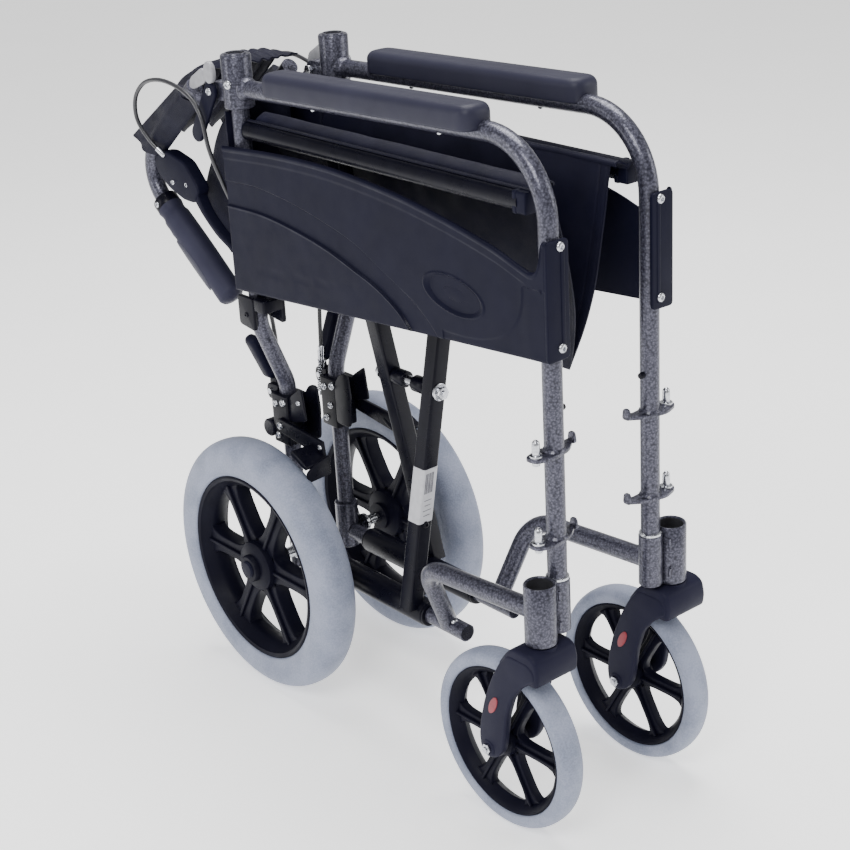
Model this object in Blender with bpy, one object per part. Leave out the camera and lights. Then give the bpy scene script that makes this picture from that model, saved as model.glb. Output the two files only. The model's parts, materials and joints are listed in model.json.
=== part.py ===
"""Folding transport wheelchair, modelled in its folded, stored state.

Metres, +Z up. -Y is the chair's front, -X is the user's right. The origin is the middle of the footprint,
on the floor. Every y below is measured from the castor stems and shifted once, by Y_STEM.
The two side frames are parallel and joined by a scissor brace of two crossed bars.
"""

import math

import bmesh
import bpy
from mathutils import Matrix, Vector

# ---- driving dimensions ----------------------------------------------------------------------
Y_STEM = -0.3250            # row y of the castor stems
SIDES = (("right", -1), ("left", 1))

FRAME_X = 0.067             # plane of each side frame, from the middle
TUBE_R = 0.010              # 20 mm frame tube
GAP = 0.0004                # clearance between neighbouring solids
ROUND = 12                  # facets around a tube
FINE = 20                   # facets around a bearing

# front of the side frame
FRONT_Y = 0.003
ARM_Z = 0.737               # armrest run, at its front end
ARM_DROP = 0.015            # fall of the armrest towards its rear end
ARM_BEND = 0.0775
PAD_SPAN = (0.084, 0.418)
PAD_X = 0.071
PAD_HALF = 0.0195
PAD_RISE = (0.0010, 0.0265)  # underside and top of the pad over the tube's centre
SOCKET_Z = (0.238, 0.296)
SOCKET_R = 0.0125
HANGER_Z = (0.337, 0.430)   # the two footrest hanger brackets
STEM_X = 0.0945
HOUSING_R = 0.0165
HOUSING_Z = (0.2345, 0.3005)
STEM_R = 0.0080
STEM_BORE_R = 0.0085
STEM_TOP = 0.2845

# rear of the side frame
REAR_Y = 0.488
LOWER_X = 0.0362            # plane of the lower rails and of the uprights' feet
LOWER_Z = 0.149
COLLAR_R = 0.017
COLLAR_Z = (0.700, 0.760)
SLEEVE_R = 0.014
LOWER_TUBE_R = 0.0105
PANEL_X = (0.0824, 0.0852)  # inner and outer face of the side panel
PANEL_LIFT = {"right": 0.0, "left": 0.0155}

# wheels
REAR_WHEEL = {"y": 0.4745, "x": 0.0989, "r": 0.156, "half": 0.024, "rim": 0.1146, "hub": 0.031}
CASTOR = {"y": 0.053, "x": STEM_X, "r": 0.100, "half": 0.0145, "rim": 0.0833, "hub": 0.017}
SPOKES = 6
WHEEL_FACETS = 32

# scissor brace
PIVOT_Z = 0.4065
BAR = 0.020                 # square tube
BAR_Y = (0.262, 0.337)      # front bar and rear bar
RAIL_X = 0.0672             # seat rails when folded
RAIL_Z = 0.6759
RAIL_SPAN = (0.0350, 0.4745)
GUIDE_HALF = (0.0088, 0.0108)      # plastic guide block on the front end of each seat rail
GUIDE_REACH = 0.0110
BAR_SLOPE = math.tan(math.radians(11.3))
BRACE_SLEEVE = (0.246, 0.440)
BRACE_SLEEVE_R = 0.015

# seat sling, one half on each side of its fold line
SEAT_HINGE = (0.042, 0.6885)
SEAT_FOLD_Z = 0.4844
SEAT_SPAN = (0.036, 0.474)
CLOTH = 0.002

# folding backrest: drawn upright around its pivot, then turned down by BACK_DEG
BACK_PIVOT = (0.520, 0.716)
BACK_DEG = 130.0
POST_OFFSET = (-0.032, 0.0455)
POST_CORNER = 0.223         # height of the handle's corner over the pivot
HANDLE_DIR = (0.974, -0.227)
HANDLE_LENGTH = 0.217
GRIP_LENGTH = 0.147
GRIP_R = 0.0165
HANDLE_BEND = 0.045

# brakes
LEVER_PIVOT = (0.089, -0.062)      # along the handle from its corner, and below it
PARK_PIVOT = (0.514, 0.350)
SHOE_PIVOT = (0.482, 0.318)
SHOE_DEG = 24.0
CABLE_R = 0.0025

PAINT = ((0.21, 0.21, 0.24), 0.35, 0.8)
PLASTIC = ((0.018, 0.019, 0.032), 0.45, 0.0)
BLACK_PAINT = ((0.012, 0.013, 0.022), 0.3, 0.0)
TYRE = ((0.42, 0.45, 0.53), 0.6, 0.0)
CLOTH_BLACK = ((0.016, 0.017, 0.034), 0.7, 0.0)
FOAM = ((0.030, 0.031, 0.045), 0.6, 0.0)
STEEL = ((0.62, 0.63, 0.66), 0.25, 1.0)
GRIP_RUBBER = ((0.055, 0.055, 0.075), 0.6, 0.0)


# ---- mesh helpers ----------------------------------------------------------------------------
def row(x, y, z):
    """A point given from the castor stems, in the row's frame."""
    return Vector((x, y + Y_STEM, z))


def clear_scene():
    for obj in list(bpy.data.objects):
        bpy.data.objects.remove(obj, do_unlink=True)


def paint(name, look):
    colour, roughness, metallic = look
    material = bpy.data.materials.new(name)
    material.use_nodes = True
    shader = material.node_tree.nodes["Principled BSDF"]
    shader.inputs["Base Color"].default_value = (*colour, 1.0)
    shader.inputs["Roughness"].default_value = roughness
    shader.inputs["Metallic"].default_value = metallic
    return material


def solid(bm):
    """A scratch object from a bmesh, with its faces pointing out."""
    bmesh.ops.recalc_face_normals(bm, faces=bm.faces)
    mesh = bpy.data.meshes.new("solid")
    bm.to_mesh(mesh)
    bm.free()
    obj = bpy.data.objects.new("solid", mesh)
    bpy.context.collection.objects.link(obj)
    return obj


def boolean(base, tool, operation):
    """Apply one Boolean to base and remove the tool."""
    modifier = base.modifiers.new("boolean", "BOOLEAN")
    modifier.operation = operation
    modifier.solver = "EXACT"
    modifier.object = tool
    graph = bpy.context.evaluated_depsgraph_get()
    mesh = bpy.data.meshes.new_from_object(base.evaluated_get(graph))
    base.modifiers.clear()
    base.data = mesh
    bpy.data.objects.remove(tool, do_unlink=True)
    return base


def weld(base, *tools):
    for tool in tools:
        boolean(base, tool, "UNION")
    return base


def cut(base, *tools):
    for tool in tools:
        boolean(base, tool, "DIFFERENCE")
    return base


def node(name, obj, look, origin=None):
    """Name a finished solid, colour it and put its origin on its joint's axis."""
    obj.name = name
    obj.data.name = name
    obj.data.materials.clear()
    obj.data.materials.append(paint(name, look))
    obj.data.shade_smooth()
    obj.data.set_sharp_from_angle(angle=math.radians(35))
    if origin is not None:
        obj.data.transform(Matrix.Translation(-origin))
        obj.location = origin
    return obj


def rounded(points, radius, steps=5):
    """The polyline with each inner corner turned into an arc."""
    path = [points[0]]
    for before, corner, after in zip(points, points[1:], points[2:]):
        to_before = (before - corner).normalized()
        to_after = (after - corner).normalized()
        half = to_before.angle(to_after) / 2
        reach = radius / math.tan(half)
        centre = corner + (to_before + to_after).normalized() * radius / math.sin(half)
        start = corner + to_before * reach - centre
        end = corner + to_after * reach - centre
        turn = start.angle(end)
        for step in range(steps + 1):
            t = step / steps
            arm = (start * math.sin((1 - t) * turn) + end * math.sin(t * turn)) / math.sin(turn)
            path.append(centre + arm)
    path.append(points[-1])
    return path


def tube(points, radius, sides=ROUND):
    """A solid round bar along a polyline."""
    bm = bmesh.new()
    rings = []
    normal = None
    for index, point in enumerate(points):
        back = points[max(index - 1, 0)]
        ahead = points[min(index + 1, len(points) - 1)]
        tangent = (ahead - back).normalized()
        if normal is None:
            normal = tangent.orthogonal().normalized()
        normal = (normal - tangent * normal.dot(tangent)).normalized()
        side = tangent.cross(normal)
        ring = []
        for step in range(sides):
            angle = 2 * math.pi * step / sides
            ring.append(bm.verts.new(point + (normal * math.cos(angle) + side * math.sin(angle)) * radius))
        rings.append(ring)
    for ring, following in zip(rings, rings[1:]):
        for step in range(sides):
            after = (step + 1) % sides
            bm.faces.new((ring[step], ring[after], following[after], following[step]))
    bm.faces.new(rings[0][::-1])
    bm.faces.new(rings[-1])
    return solid(bm)


def block(low, high):
    """A box between two corners, given in any order."""
    bm = bmesh.new()
    bmesh.ops.create_cube(bm, size=1.0)
    size = [abs(high[axis] - low[axis]) for axis in range(3)]
    bmesh.ops.scale(bm, vec=size, verts=bm.verts)
    bmesh.ops.translate(bm, vec=(low + high) / 2, verts=bm.verts)
    return solid(bm)


def prism(outline, x_from, x_to):
    """An outline of (y, z) points, pushed out from one x to another."""
    bm = bmesh.new()
    near = [bm.verts.new(row(x_from, y, z)) for y, z in outline]
    far = [bm.verts.new(row(x_to, y, z)) for y, z in outline]
    bm.faces.new(near)
    bm.faces.new(far[::-1])
    for index in range(len(outline)):
        after = (index + 1) % len(outline)
        bm.faces.new((near[index], far[index], far[after], near[after]))
    return solid(bm)


def lathe(profile, centre, axis, sides=FINE):
    """Turn (radius, height) points about an axis. A profile that starts on the axis ends on it too."""
    bm = bmesh.new()
    turn = axis.to_track_quat("Z", "Y").to_matrix()
    on_axis = profile[0][0] == 0
    rings = []
    for radius, height in profile:
        if radius == 0:
            rings.append([bm.verts.new(centre + turn @ Vector((0, 0, height)))] * sides)
            continue
        ring = []
        for step in range(sides):
            angle = 2 * math.pi * step / sides
            arm = Vector((radius * math.cos(angle), radius * math.sin(angle), height))
            ring.append(bm.verts.new(centre + turn @ arm))
        rings.append(ring)
    pairs = list(zip(rings, rings[1:]))
    if not on_axis:
        pairs.append((rings[-1], rings[0]))
    for ring, following in pairs:
        for step in range(sides):
            after = (step + 1) % sides
            corners = [ring[step], ring[after], following[after], following[step]]
            distinct = list(dict.fromkeys(corners))
            bm.faces.new(distinct)
    return solid(bm)


def x_rod(x_from, x_to, y, z, radius, sides=ROUND):
    return tube([row(x_from, y, z), row(x_to, y, z)], radius, sides)


def y_rod(x, z, y_from, y_to, radius, sides=ROUND):
    return tube([row(x, y_from, z), row(x, y_to, z)], radius, sides)


def z_rod(x, y, z_from, z_to, radius, sides=ROUND):
    return tube([row(x, y, z_from), row(x, y, z_to)], radius, sides)


def lowered(y, z):
    """A point of the upright backrest, given from its pivot, where the folded backrest holds it."""
    angle = math.radians(-BACK_DEG)
    turned_y = y * math.cos(angle) - z * math.sin(angle)
    turned_z = y * math.sin(angle) + z * math.cos(angle)
    return BACK_PIVOT[0] + turned_y, BACK_PIVOT[1] + turned_z


def on_handle(along, up):
    """A point beside the push handle: distance from its corner, and offset towards its upper side."""
    corner = Vector((POST_OFFSET[0], POST_CORNER))
    direction = Vector(HANDLE_DIR)
    normal = Vector((-direction.y, direction.x))
    point = corner + direction * along + normal * up
    return lowered(point.x, point.y)


def arc(centre, radius, start_deg, end_deg, steps=6):
    angles = [math.radians(start_deg + (end_deg - start_deg) * k / steps) for k in range(steps + 1)]
    return [(centre[0] + radius * math.cos(a), centre[1] + radius * math.sin(a)) for a in angles]


# ---- side frames -----------------------------------------------------------------------------
ARM_END = REAR_Y - COLLAR_R - GAP
ARM_SLOPE = -ARM_DROP / (ARM_END - FRONT_Y)


def arm_point(x, y, rise=0.0):
    """A point over the armrest tube's centre line."""
    return row(x, y, ARM_Z + (y - FRONT_Y) * ARM_SLOPE + rise)


def front_tube(side, s):
    x = s * FRAME_X
    corners = [row(x, FRONT_Y, HOUSING_Z[1] + GAP), arm_point(x, FRONT_Y), arm_point(x, ARM_END)]
    body = tube(rounded(corners, ARM_BEND, 6), TUBE_R)
    for z in HANGER_Z:
        plate = block(row(x - s * 0.017, FRONT_Y - 0.009, z), row(x + s * 0.031, FRONT_Y + 0.010, z + 0.005))
        pin = z_rod(x + s * 0.024, FRONT_Y, z - 0.004, z + 0.021, 0.004, 12)
        weld(body, plate, pin)
    node(f"front_tube_{side}", body, PAINT)


def stem_housing(side, s):
    low, high = HOUSING_Z
    bore_top = STEM_TOP + 0.0015
    profile = [(0, high), (HOUSING_R, high), (HOUSING_R, low), (STEM_BORE_R, low), (STEM_BORE_R, bore_top)]
    profile.append((0, bore_top))
    body = lathe(profile, row(s * STEM_X, 0, 0), Vector((0, 0, 1)))
    weld(body, z_rod(s * FRAME_X, FRONT_Y, *SOCKET_Z, SOCKET_R, FINE))
    node(f"stem_housing_{side}", body, PAINT)


def lower_rail(side, s):
    x = s * LOWER_X
    rail = y_rod(x, LOWER_Z, 0.182, REAR_Y - SLEEVE_R - GAP, TUBE_R)
    corners = [row(s * 0.080, 0.0180, 0.2565), row(s * 0.080, 0.197, 0.2435), row(x, 0.212, LOWER_Z)]
    weld(rail, tube(rounded(corners, 0.040), LOWER_TUBE_R))
    node(f"lower_rail_{side}", rail, PAINT)


def rear_upright(side, s):
    top, foot = s * FRAME_X, s * LOWER_X
    corners = [
        row(top, REAR_Y, COLLAR_Z[1] - 0.004),
        row(top, REAR_Y, 0.446),
        row(foot, REAR_Y, 0.366),
        row(foot, REAR_Y, 0.130),
    ]
    body = tube(rounded(corners, 0.055, 3), TUBE_R)
    collar = z_rod(top, REAR_Y, *COLLAR_Z, COLLAR_R, FINE)
    sleeve = z_rod(foot, REAR_Y, 0.128, 0.187, SLEEVE_R, FINE)
    weld(body, collar, sleeve)
    y, z = BACK_PIVOT
    for inner in (-0.0102, 0.0062):
        cheek = [(REAR_Y + 0.010, z - 0.010), (y, z - 0.010), *arc((y, z), 0.010, -60, 60), (y, z + 0.010)]
        cheek.append((REAR_Y + 0.010, z + 0.010))
        weld(body, prism(cheek, top + s * inner, top + s * (inner + 0.004)))
    weld(body, x_rod(top - s * 0.0125, top + s * 0.0125, y, z, 0.004, FINE))
    node(f"rear_upright_{side}", body, PAINT)


def side_panel(side, s):
    """The guard under the armrest: a thin plate with a flange turned in across the front tube."""
    inner, outer = PANEL_X
    lift = PANEL_LIFT[side]
    outline = [
        (-0.0105, 0.530),
        (0.506, 0.488),
        (0.506, 0.656),
        (0.400, 0.657),
        (0.280, 0.656),
        (0.180, 0.649),
        (0.100, 0.640),
        (0.040, 0.629),
        (0.010, 0.622),
        (0.004, 0.646),
        (-0.0105, 0.646),
    ]
    body = prism([(y, z + lift) for y, z in outline], s * inner, s * outer)
    flange = block(row(s * 0.0560, -0.0105, 0.530 + lift), row(s * (outer - 0.001), -0.0078, 0.646 + lift))
    weld(body, flange)
    node(f"side_panel_{side}", body, PLASTIC)


def armrest_pad(side, s):
    low, high = PAD_RISE
    start, end = PAD_SPAN
    bm = bmesh.new()
    bmesh.ops.create_cube(bm, size=1.0)
    bmesh.ops.scale(bm, vec=(2 * PAD_HALF, end - start, high - low), verts=bm.verts)
    bmesh.ops.bevel(bm, geom=bm.edges, offset=0.007, segments=2, affect="EDGES", profile=0.5)
    bmesh.ops.rotate(bm, matrix=Matrix.Rotation(math.atan(ARM_SLOPE), 3, "X"), verts=bm.verts)
    centre = arm_point(s * PAD_X, (start + end) / 2, (low + high) / 2)
    bmesh.ops.translate(bm, vec=centre, verts=bm.verts)
    pad = solid(bm)
    x = s * FRAME_X
    cut(pad, tube([arm_point(x, start - 0.05), arm_point(x, end + 0.05)], TUBE_R + GAP))
    node(f"armrest_pad_{side}", pad, FOAM)


def seat_saddle(side, s):
    x = s * FRAME_X
    body = block(row(x - 0.0155, 0.456, 0.452), row(x + 0.0155, 0.505, 0.4835))
    cut(body, z_rod(x, REAR_Y, 0.440, 0.500, TUBE_R + 0.0008))
    node(f"seat_saddle_{side}", body, PLASTIC)


def rear_axle(side, s):
    x = REAR_WHEEL["x"]
    body = x_rod(s * (LOWER_X + SLEEVE_R + GAP), s * (x + 0.027), REAR_Y - 0.0135, REAR_WHEEL["r"], 0.0065, FINE)
    node(f"rear_axle_{side}", body, STEEL)


# ---- parking brake ---------------------------------------------------------------------------
def brake_bracket(side, s):
    x = s * LOWER_X
    body = block(row(x - 0.0145, 0.4735, 0.292), row(x + 0.0145, 0.5025, 0.354))
    for inner in (-0.0062, 0.0022):
        weld(body, block(row(x + s * inner, 0.500, 0.340), row(x + s * (inner + 0.004), 0.521, 0.358)))
    cut(body, z_rod(x, REAR_Y, 0.280, 0.360, TUBE_R + GAP))
    node(f"brake_bracket_{side}", body, BLACK_PAINT)


def parking_lever(side, s):
    """A lever behind the upright that leans outwards along the upright's bend."""
    y, z = PARK_PIVOT
    x = s * LOWER_X
    tongue = [*arc((y, z), 0.007, 180, 360), (y + 0.006, z + 0.026), (y - 0.004, z + 0.026)]
    body = prism(tongue, x - s * 0.0018, x + s * 0.0018)
    foot = row(x + s * 0.002, y + 0.001, z + 0.021)
    tip = row(s * 0.0625, y + 0.002, 0.424)
    handle = tube([foot, tip], 0.0075, 8)
    weld(body, handle)
    node(f"parking_lever_{side}", body, PLASTIC, row(x, y, z))


def brake_arm(side, s):
    """The arm that presses the shoe on the top of the tyre."""
    centre = (REAR_WHEEL["y"], REAR_WHEEL["r"])
    angle = math.radians(90 + SHOE_DEG)
    out = Vector((math.cos(angle), math.sin(angle)))
    along = Vector((-out.y, out.x))
    face = Vector(centre) + out * (REAR_WHEEL["r"] + 0.0035)
    corners = [face + along * 0.014, face - along * 0.014, face - along * 0.014 + out * 0.006]
    corners.append(face + along * 0.014 + out * 0.006)
    body = prism([tuple(c) for c in corners], s * 0.0515, s * 0.098)
    pivot = Vector(SHOE_PIVOT)
    strip = [*arc(SHOE_PIVOT, 0.008, -90, 90), tuple(face + out * 0.018), tuple(face + out * 0.001 + along * 0.010)]
    weld(body, prism(strip, s * 0.0515, s * 0.0560))
    node(f"brake_arm_{side}", body, BLACK_PAINT, row(s * 0.0540, pivot.x, pivot.y))


# ---- wheels ----------------------------------------------------------------------------------
def wheel(name, side, s, size, origin, bore, ring_depth, spoke_width):
    """A spoked rim and its tyre, both centred on the wheel's own axis."""
    axis = Vector((1, 0, 0))
    rim_r, half, hub = size["rim"], size["half"], size["hub"]
    rim_half = half * 0.8
    ring = [(rim_r, -rim_half), (rim_r, rim_half), (rim_r - ring_depth, rim_half), (rim_r - ring_depth, -rim_half)]
    rim = lathe(ring, origin, axis, WHEEL_FACETS)
    hub_half = half * 1.05
    weld(rim, lathe([(0, -hub_half), (hub, -hub_half), (hub, hub_half), (0, hub_half)], origin, axis, FINE))
    for index in range(SPOKES):
        angle = 2 * math.pi * (index + 0.5) / SPOKES
        bm = bmesh.new()
        bmesh.ops.create_cube(bm, size=1.0)
        reach = rim_r - ring_depth * 0.5 - hub * 0.6
        bmesh.ops.scale(bm, vec=(rim_half * 1.1, spoke_width, reach), verts=bm.verts)
        bmesh.ops.translate(bm, vec=(0, 0, hub * 0.6 + reach / 2), verts=bm.verts)
        bmesh.ops.rotate(bm, matrix=Matrix.Rotation(angle, 3, "X"), verts=bm.verts)
        bmesh.ops.translate(bm, vec=origin, verts=bm.verts)
        weld(rim, solid(bm))
    reach = Vector((half * 1.5, 0, 0))
    cut(rim, tube([origin - reach, origin + reach], bore, FINE))
    node(f"{name}_rim_{side}", rim, PLASTIC, origin)

    inner, outer = rim_r + GAP, size["r"]
    crown = [(inner, -half * 0.92), (inner, half * 0.92)]
    crown += [(inner + (outer - inner) * 0.45, half), (outer - 0.006, half * 0.72), (outer, half * 0.35)]
    crown += [(outer, -half * 0.35), (outer - 0.006, -half * 0.72), (inner + (outer - inner) * 0.45, -half)]
    node(f"{name}_tyre_{side}", lathe(crown, origin, axis, WHEEL_FACETS), TYRE, origin)


def rear_wheel(side, s):
    origin = row(s * REAR_WHEEL["x"], REAR_WHEEL["y"], REAR_WHEEL["r"])
    wheel("rear_wheel", side, s, REAR_WHEEL, origin, 0.0070, 0.016, 0.021)


def castor(side, s):
    x, y, z = s * CASTOR["x"], CASTOR["y"], CASTOR["r"]
    origin = row(x, y, z)
    wheel("castor", side, s, CASTOR, origin, 0.0048, 0.010, 0.013)

    crown_low, crown_high = 0.206, HOUSING_Z[0] - 0.001
    crown = [(-0.020, crown_low - 0.004), (0.0, crown_low), (0.048, crown_low), (0.040, crown_high - 0.006)]
    crown += [(0.020, crown_high), (-0.020, crown_high)]
    leg = [(-0.020, crown_low - 0.004), (0.010, 0.180), (0.034, 0.120), *arc((y, z), 0.018, 150, 400, 8)]
    leg += [(0.071, 0.140), (0.066, 0.190), (0.048, crown_low), (0.040, crown_high - 0.006), (0.020, crown_high)]
    leg.append((-0.020, crown_high))
    fork = prism(crown, x - 0.0295, x + 0.0295)
    weld(fork, prism(leg, x - 0.0295, x - 0.0205), prism(leg, x + 0.0205, x + 0.0295))
    weld(fork, z_rod(x, 0, crown_high - 0.003, STEM_TOP, STEM_R, FINE))
    cut(fork, x_rod(x - 0.035, x + 0.035, y, z, 0.0046, FINE))
    node(f"castor_fork_{side}", fork, PLASTIC, row(x, 0, crown_low))
    axle = x_rod(x - 0.0315, x + 0.0315, y, z, 0.0042, FINE)
    node(f"castor_axle_{side}", axle, STEEL, origin)


# ---- scissor brace ---------------------------------------------------------------------------
def cross_bar(name, lean, y):
    """A square bar from one lower rail, through the pivot, to the opposite seat rail. lean is +1 if its top is at +X."""
    foot_x = -lean * LOWER_X
    half = BAR / 2
    low, high = LOWER_Z - 0.004, RAIL_Z - 0.002
    slope = math.atan(BAR_SLOPE)
    bm = bmesh.new()
    corners = []
    for z in (low, high):
        x = lean * (z - PIVOT_Z) * BAR_SLOPE
        across = half / math.cos(slope)
        corners.append([bm.verts.new(row(x + i * across, y + j * half, z)) for i, j in ((-1, -1), (1, -1), (1, 1), (-1, 1))])
    bm.faces.new(corners[0])
    bm.faces.new(corners[1][::-1])
    for index in range(4):
        after = (index + 1) % 4
        bm.faces.new((corners[0][index], corners[1][index], corners[1][after], corners[0][after]))
    bar = solid(bm)
    weld(bar, y_rod(foot_x, LOWER_Z, *BRACE_SLEEVE, BRACE_SLEEVE_R, FINE))
    cut(bar, y_rod(foot_x, LOWER_Z, 0.20, 0.48, TUBE_R + 0.0006, FINE))
    cut(bar, y_rod(lean * RAIL_X, RAIL_Z, 0.20, 0.40, TUBE_R + GAP))
    cut(bar, y_rod(0, PIVOT_Z, 0.20, 0.40, 0.0064, FINE))
    node(name, bar, BLACK_PAINT, row(foot_x, y, LOWER_Z))


def pivot_shaft():
    nose, tail = BAR_Y[0] - BAR / 2 - 0.009, BAR_Y[1] + BAR / 2 + 0.009
    inner_from, inner_to = BAR_Y[0] + BAR / 2 + GAP, BAR_Y[1] - BAR / 2 - GAP
    head = 0.0085
    profile = [(0, nose), (head, nose), (head, nose + 0.009 - GAP), (0.006, nose + 0.009 - GAP)]
    profile += [(0.006, inner_from), (0.0105, inner_from), (0.0105, inner_to), (0.006, inner_to)]
    profile += [(0.006, tail - 0.009 + GAP), (head, tail - 0.009 + GAP), (head, tail), (0, tail)]
    shaft = lathe([(r, -h) for r, h in profile], row(0, 0, PIVOT_Z), Vector((0, -1, 0)))
    node("pivot_shaft", shaft, STEEL, row(0, BAR_Y[0], PIVOT_Z))


def seat_rail(side, s):
    x = s * RAIL_X
    body = y_rod(x, RAIL_Z, *RAIL_SPAN, TUBE_R)
    half_x, half_z = GUIDE_HALF
    front = RAIL_SPAN[0] - GUIDE_REACH
    guide = block(row(x - half_x, front, RAIL_Z - half_z), row(x + half_x, RAIL_SPAN[0] + 0.005, RAIL_Z + half_z))
    weld(body, guide)
    node(f"seat_rail_{side}", body, BLACK_PAINT, row(x, RAIL_SPAN[0], RAIL_Z))


def seat_half(side, s):
    """Half of the sling, hanging from beside its rail down to the fold line."""
    top = Vector((s * SEAT_HINGE[0], SEAT_HINGE[1]))
    fold = Vector((0, SEAT_FOLD_Z))
    down = (fold - top).normalized()
    across = Vector((-down.y, down.x)) * CLOTH / 2
    start, end = top, fold - down * 0.0070
    corners = [start - across, start + across, end + across, end - across]
    bm = bmesh.new()
    near = [bm.verts.new(row(c.x, SEAT_SPAN[0], c.y)) for c in corners]
    far = [bm.verts.new(row(c.x, SEAT_SPAN[1], c.y)) for c in corners]
    bm.faces.new(near)
    bm.faces.new(far[::-1])
    for index in range(4):
        after = (index + 1) % 4
        bm.faces.new((near[index], far[index], far[after], near[after]))
    origin = row(top.x, SEAT_SPAN[0], top.y) if s < 0 else row(0, SEAT_SPAN[0], SEAT_FOLD_Z)
    node(f"seat_sling_{side}", solid(bm), CLOTH_BLACK, origin)


# ---- backrest --------------------------------------------------------------------------------
def back_post(side, s):
    x = s * FRAME_X
    offset_y, bottom = POST_OFFSET
    corner = Vector((offset_y, POST_CORNER))
    end = corner + Vector(HANDLE_DIR) * (HANDLE_LENGTH - 0.006)
    corners = [row(x, *lowered(offset_y, bottom)), row(x, *lowered(*corner)), row(x, *lowered(*end))]
    body = tube(rounded(corners, HANDLE_BEND, 7), TUBE_R)
    tongue = [*arc((0, 0), 0.0100, 180, 360), (0.0100, 0.059), (offset_y, 0.059), (offset_y, bottom)]
    tongue.append((-0.0100, bottom))
    weld(body, prism([lowered(*p) for p in tongue], x - 0.0055, x + 0.0055))
    cut(body, x_rod(x - 0.008, x + 0.008, *BACK_PIVOT, 0.0048, FINE))
    clamp = [row(x, *on_handle(0.0575, 0)), row(x, *on_handle(0.0685, 0))]
    weld(body, tube(clamp, 0.0155, ROUND))
    housing = [(0.058, -0.012), (0.068, -0.012), (0.078, -0.034), (0.078, -0.052), (0.044, -0.060), (0.036, -0.046)]
    weld(body, prism([on_handle(*p) for p in housing], x - 0.008, x + 0.008))
    node(f"back_post_{side}", body, PAINT, row(x, *BACK_PIVOT))


def push_grip(side, s):
    x = s * FRAME_X
    start = row(x, *on_handle(HANDLE_LENGTH - GRIP_LENGTH, 0))
    end = row(x, *on_handle(HANDLE_LENGTH, 0))
    bore = TUBE_R + GAP
    length = GRIP_LENGTH
    profile = [(0, length), (GRIP_R - 0.004, length), (GRIP_R, length - 0.004), (GRIP_R, 0.004)]
    profile += [(GRIP_R - 0.002, 0), (bore, 0), (bore, length - 0.0055), (0, length - 0.0055)]
    body = lathe(profile, start, (end - start).normalized(), ROUND)
    node(f"push_grip_{side}", body, GRIP_RUBBER, start)


def hand_lever(side, s):
    """The brake lever under the grip, on a pin in the clamp's housing."""
    x = s * FRAME_X
    blade = [(0.083, -0.055), (0.0805, -0.062), (0.083, -0.069), (0.092, -0.074), (0.105, -0.072)]
    blade += [(0.130, -0.063), (0.190, -0.066), (0.193, -0.058), (0.130, -0.054), (0.105, -0.053)]
    body = prism([on_handle(*p) for p in blade], x - 0.0065, x + 0.0065)
    node(f"hand_lever_{side}", body, PLASTIC, row(x, *on_handle(*LEVER_PIVOT)))


def latch_lever(side, s):
    """The release lever outside the back hinge, hanging down behind the frame."""
    x = s * (FRAME_X + 0.0132)
    top, tip = (0.519, 0.716), (0.553, 0.664)
    direction = Vector((tip[0] - top[0], tip[1] - top[1])).normalized()
    angle = math.degrees(math.atan2(direction.y, direction.x))
    outline = arc(top, 0.010, angle + 90, angle + 270) + arc(tip, 0.008, angle - 90, angle + 90)
    node(f"latch_lever_{side}", prism(outline, x, x + s * 0.004), PLASTIC, row(x, *top))


# Layers of back upholstery, one behind the other while the chair is folded
WEBS = (("right", -0.078, 0.050), ("middle", -0.058, 0.058), ("left", -0.050, 0.078))


def back_webs():
    upper_from, upper_to = 0.066, 0.185
    lower_from, lower_to = 0.500, 0.695
    for index, (name, low, high) in enumerate(WEBS):
        depth = POST_OFFSET[0] - 0.0140 - 0.0035 * index
        outline = [(depth, upper_from), (depth, upper_to), (depth - CLOTH, upper_to), (depth - CLOTH, upper_from)]
        pivot = row(0, *BACK_PIVOT)
        node(f"back_upper_{name}", prism([lowered(*p) for p in outline], low, high), CLOTH_BLACK, pivot)
        y = REAR_Y + 0.0130 + 0.0035 * index
        node(f"back_lower_{name}", block(row(low, y, lower_from), row(high, y + CLOTH, lower_to)), CLOTH_BLACK)


# ---- brake cables ----------------------------------------------------------------------------
# Routes as (x, y, z) of the left side; the right side mirrors x
CABLE_UPPER = (
    (0.075, 0.6430, 0.622),
    (0.083, 0.6600, 0.640),
    (0.089, 0.6720, 0.664),
    (0.091, 0.6670, 0.690),
    (0.091, 0.6450, 0.710),
    (0.091, 0.6120, 0.718),
    (0.090, 0.5780, 0.715),
    (0.090, 0.5480, 0.704),
)
CABLE_LOWER = (
    (0.090, 0.5450, 0.7020),
    (0.090, 0.5320, 0.685),
    (0.088, 0.5260, 0.650),
    (0.078, 0.5200, 0.610),
    (0.060, 0.5180, 0.560),
    (0.046, 0.5160, 0.500),
    (0.035, 0.5100, 0.440),
    (0.031, 0.5090, 0.375),
)


def smooth_route(points, steps=2):
    """A Catmull-Rom curve through the points."""
    full = [points[0] * 2 - points[1], *points, points[-1] * 2 - points[-2]]
    path = []
    for a, b, c, d in zip(full, full[1:], full[2:], full[3:]):
        for step in range(steps):
            t = step / steps
            curve = 2 * b + (c - a) * t + (2 * a - 5 * b + 4 * c - d) * t * t
            path.append((curve + (3 * b - a - 3 * c + d) * t * t * t) / 2)
    path.append(points[-1])
    return path


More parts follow.
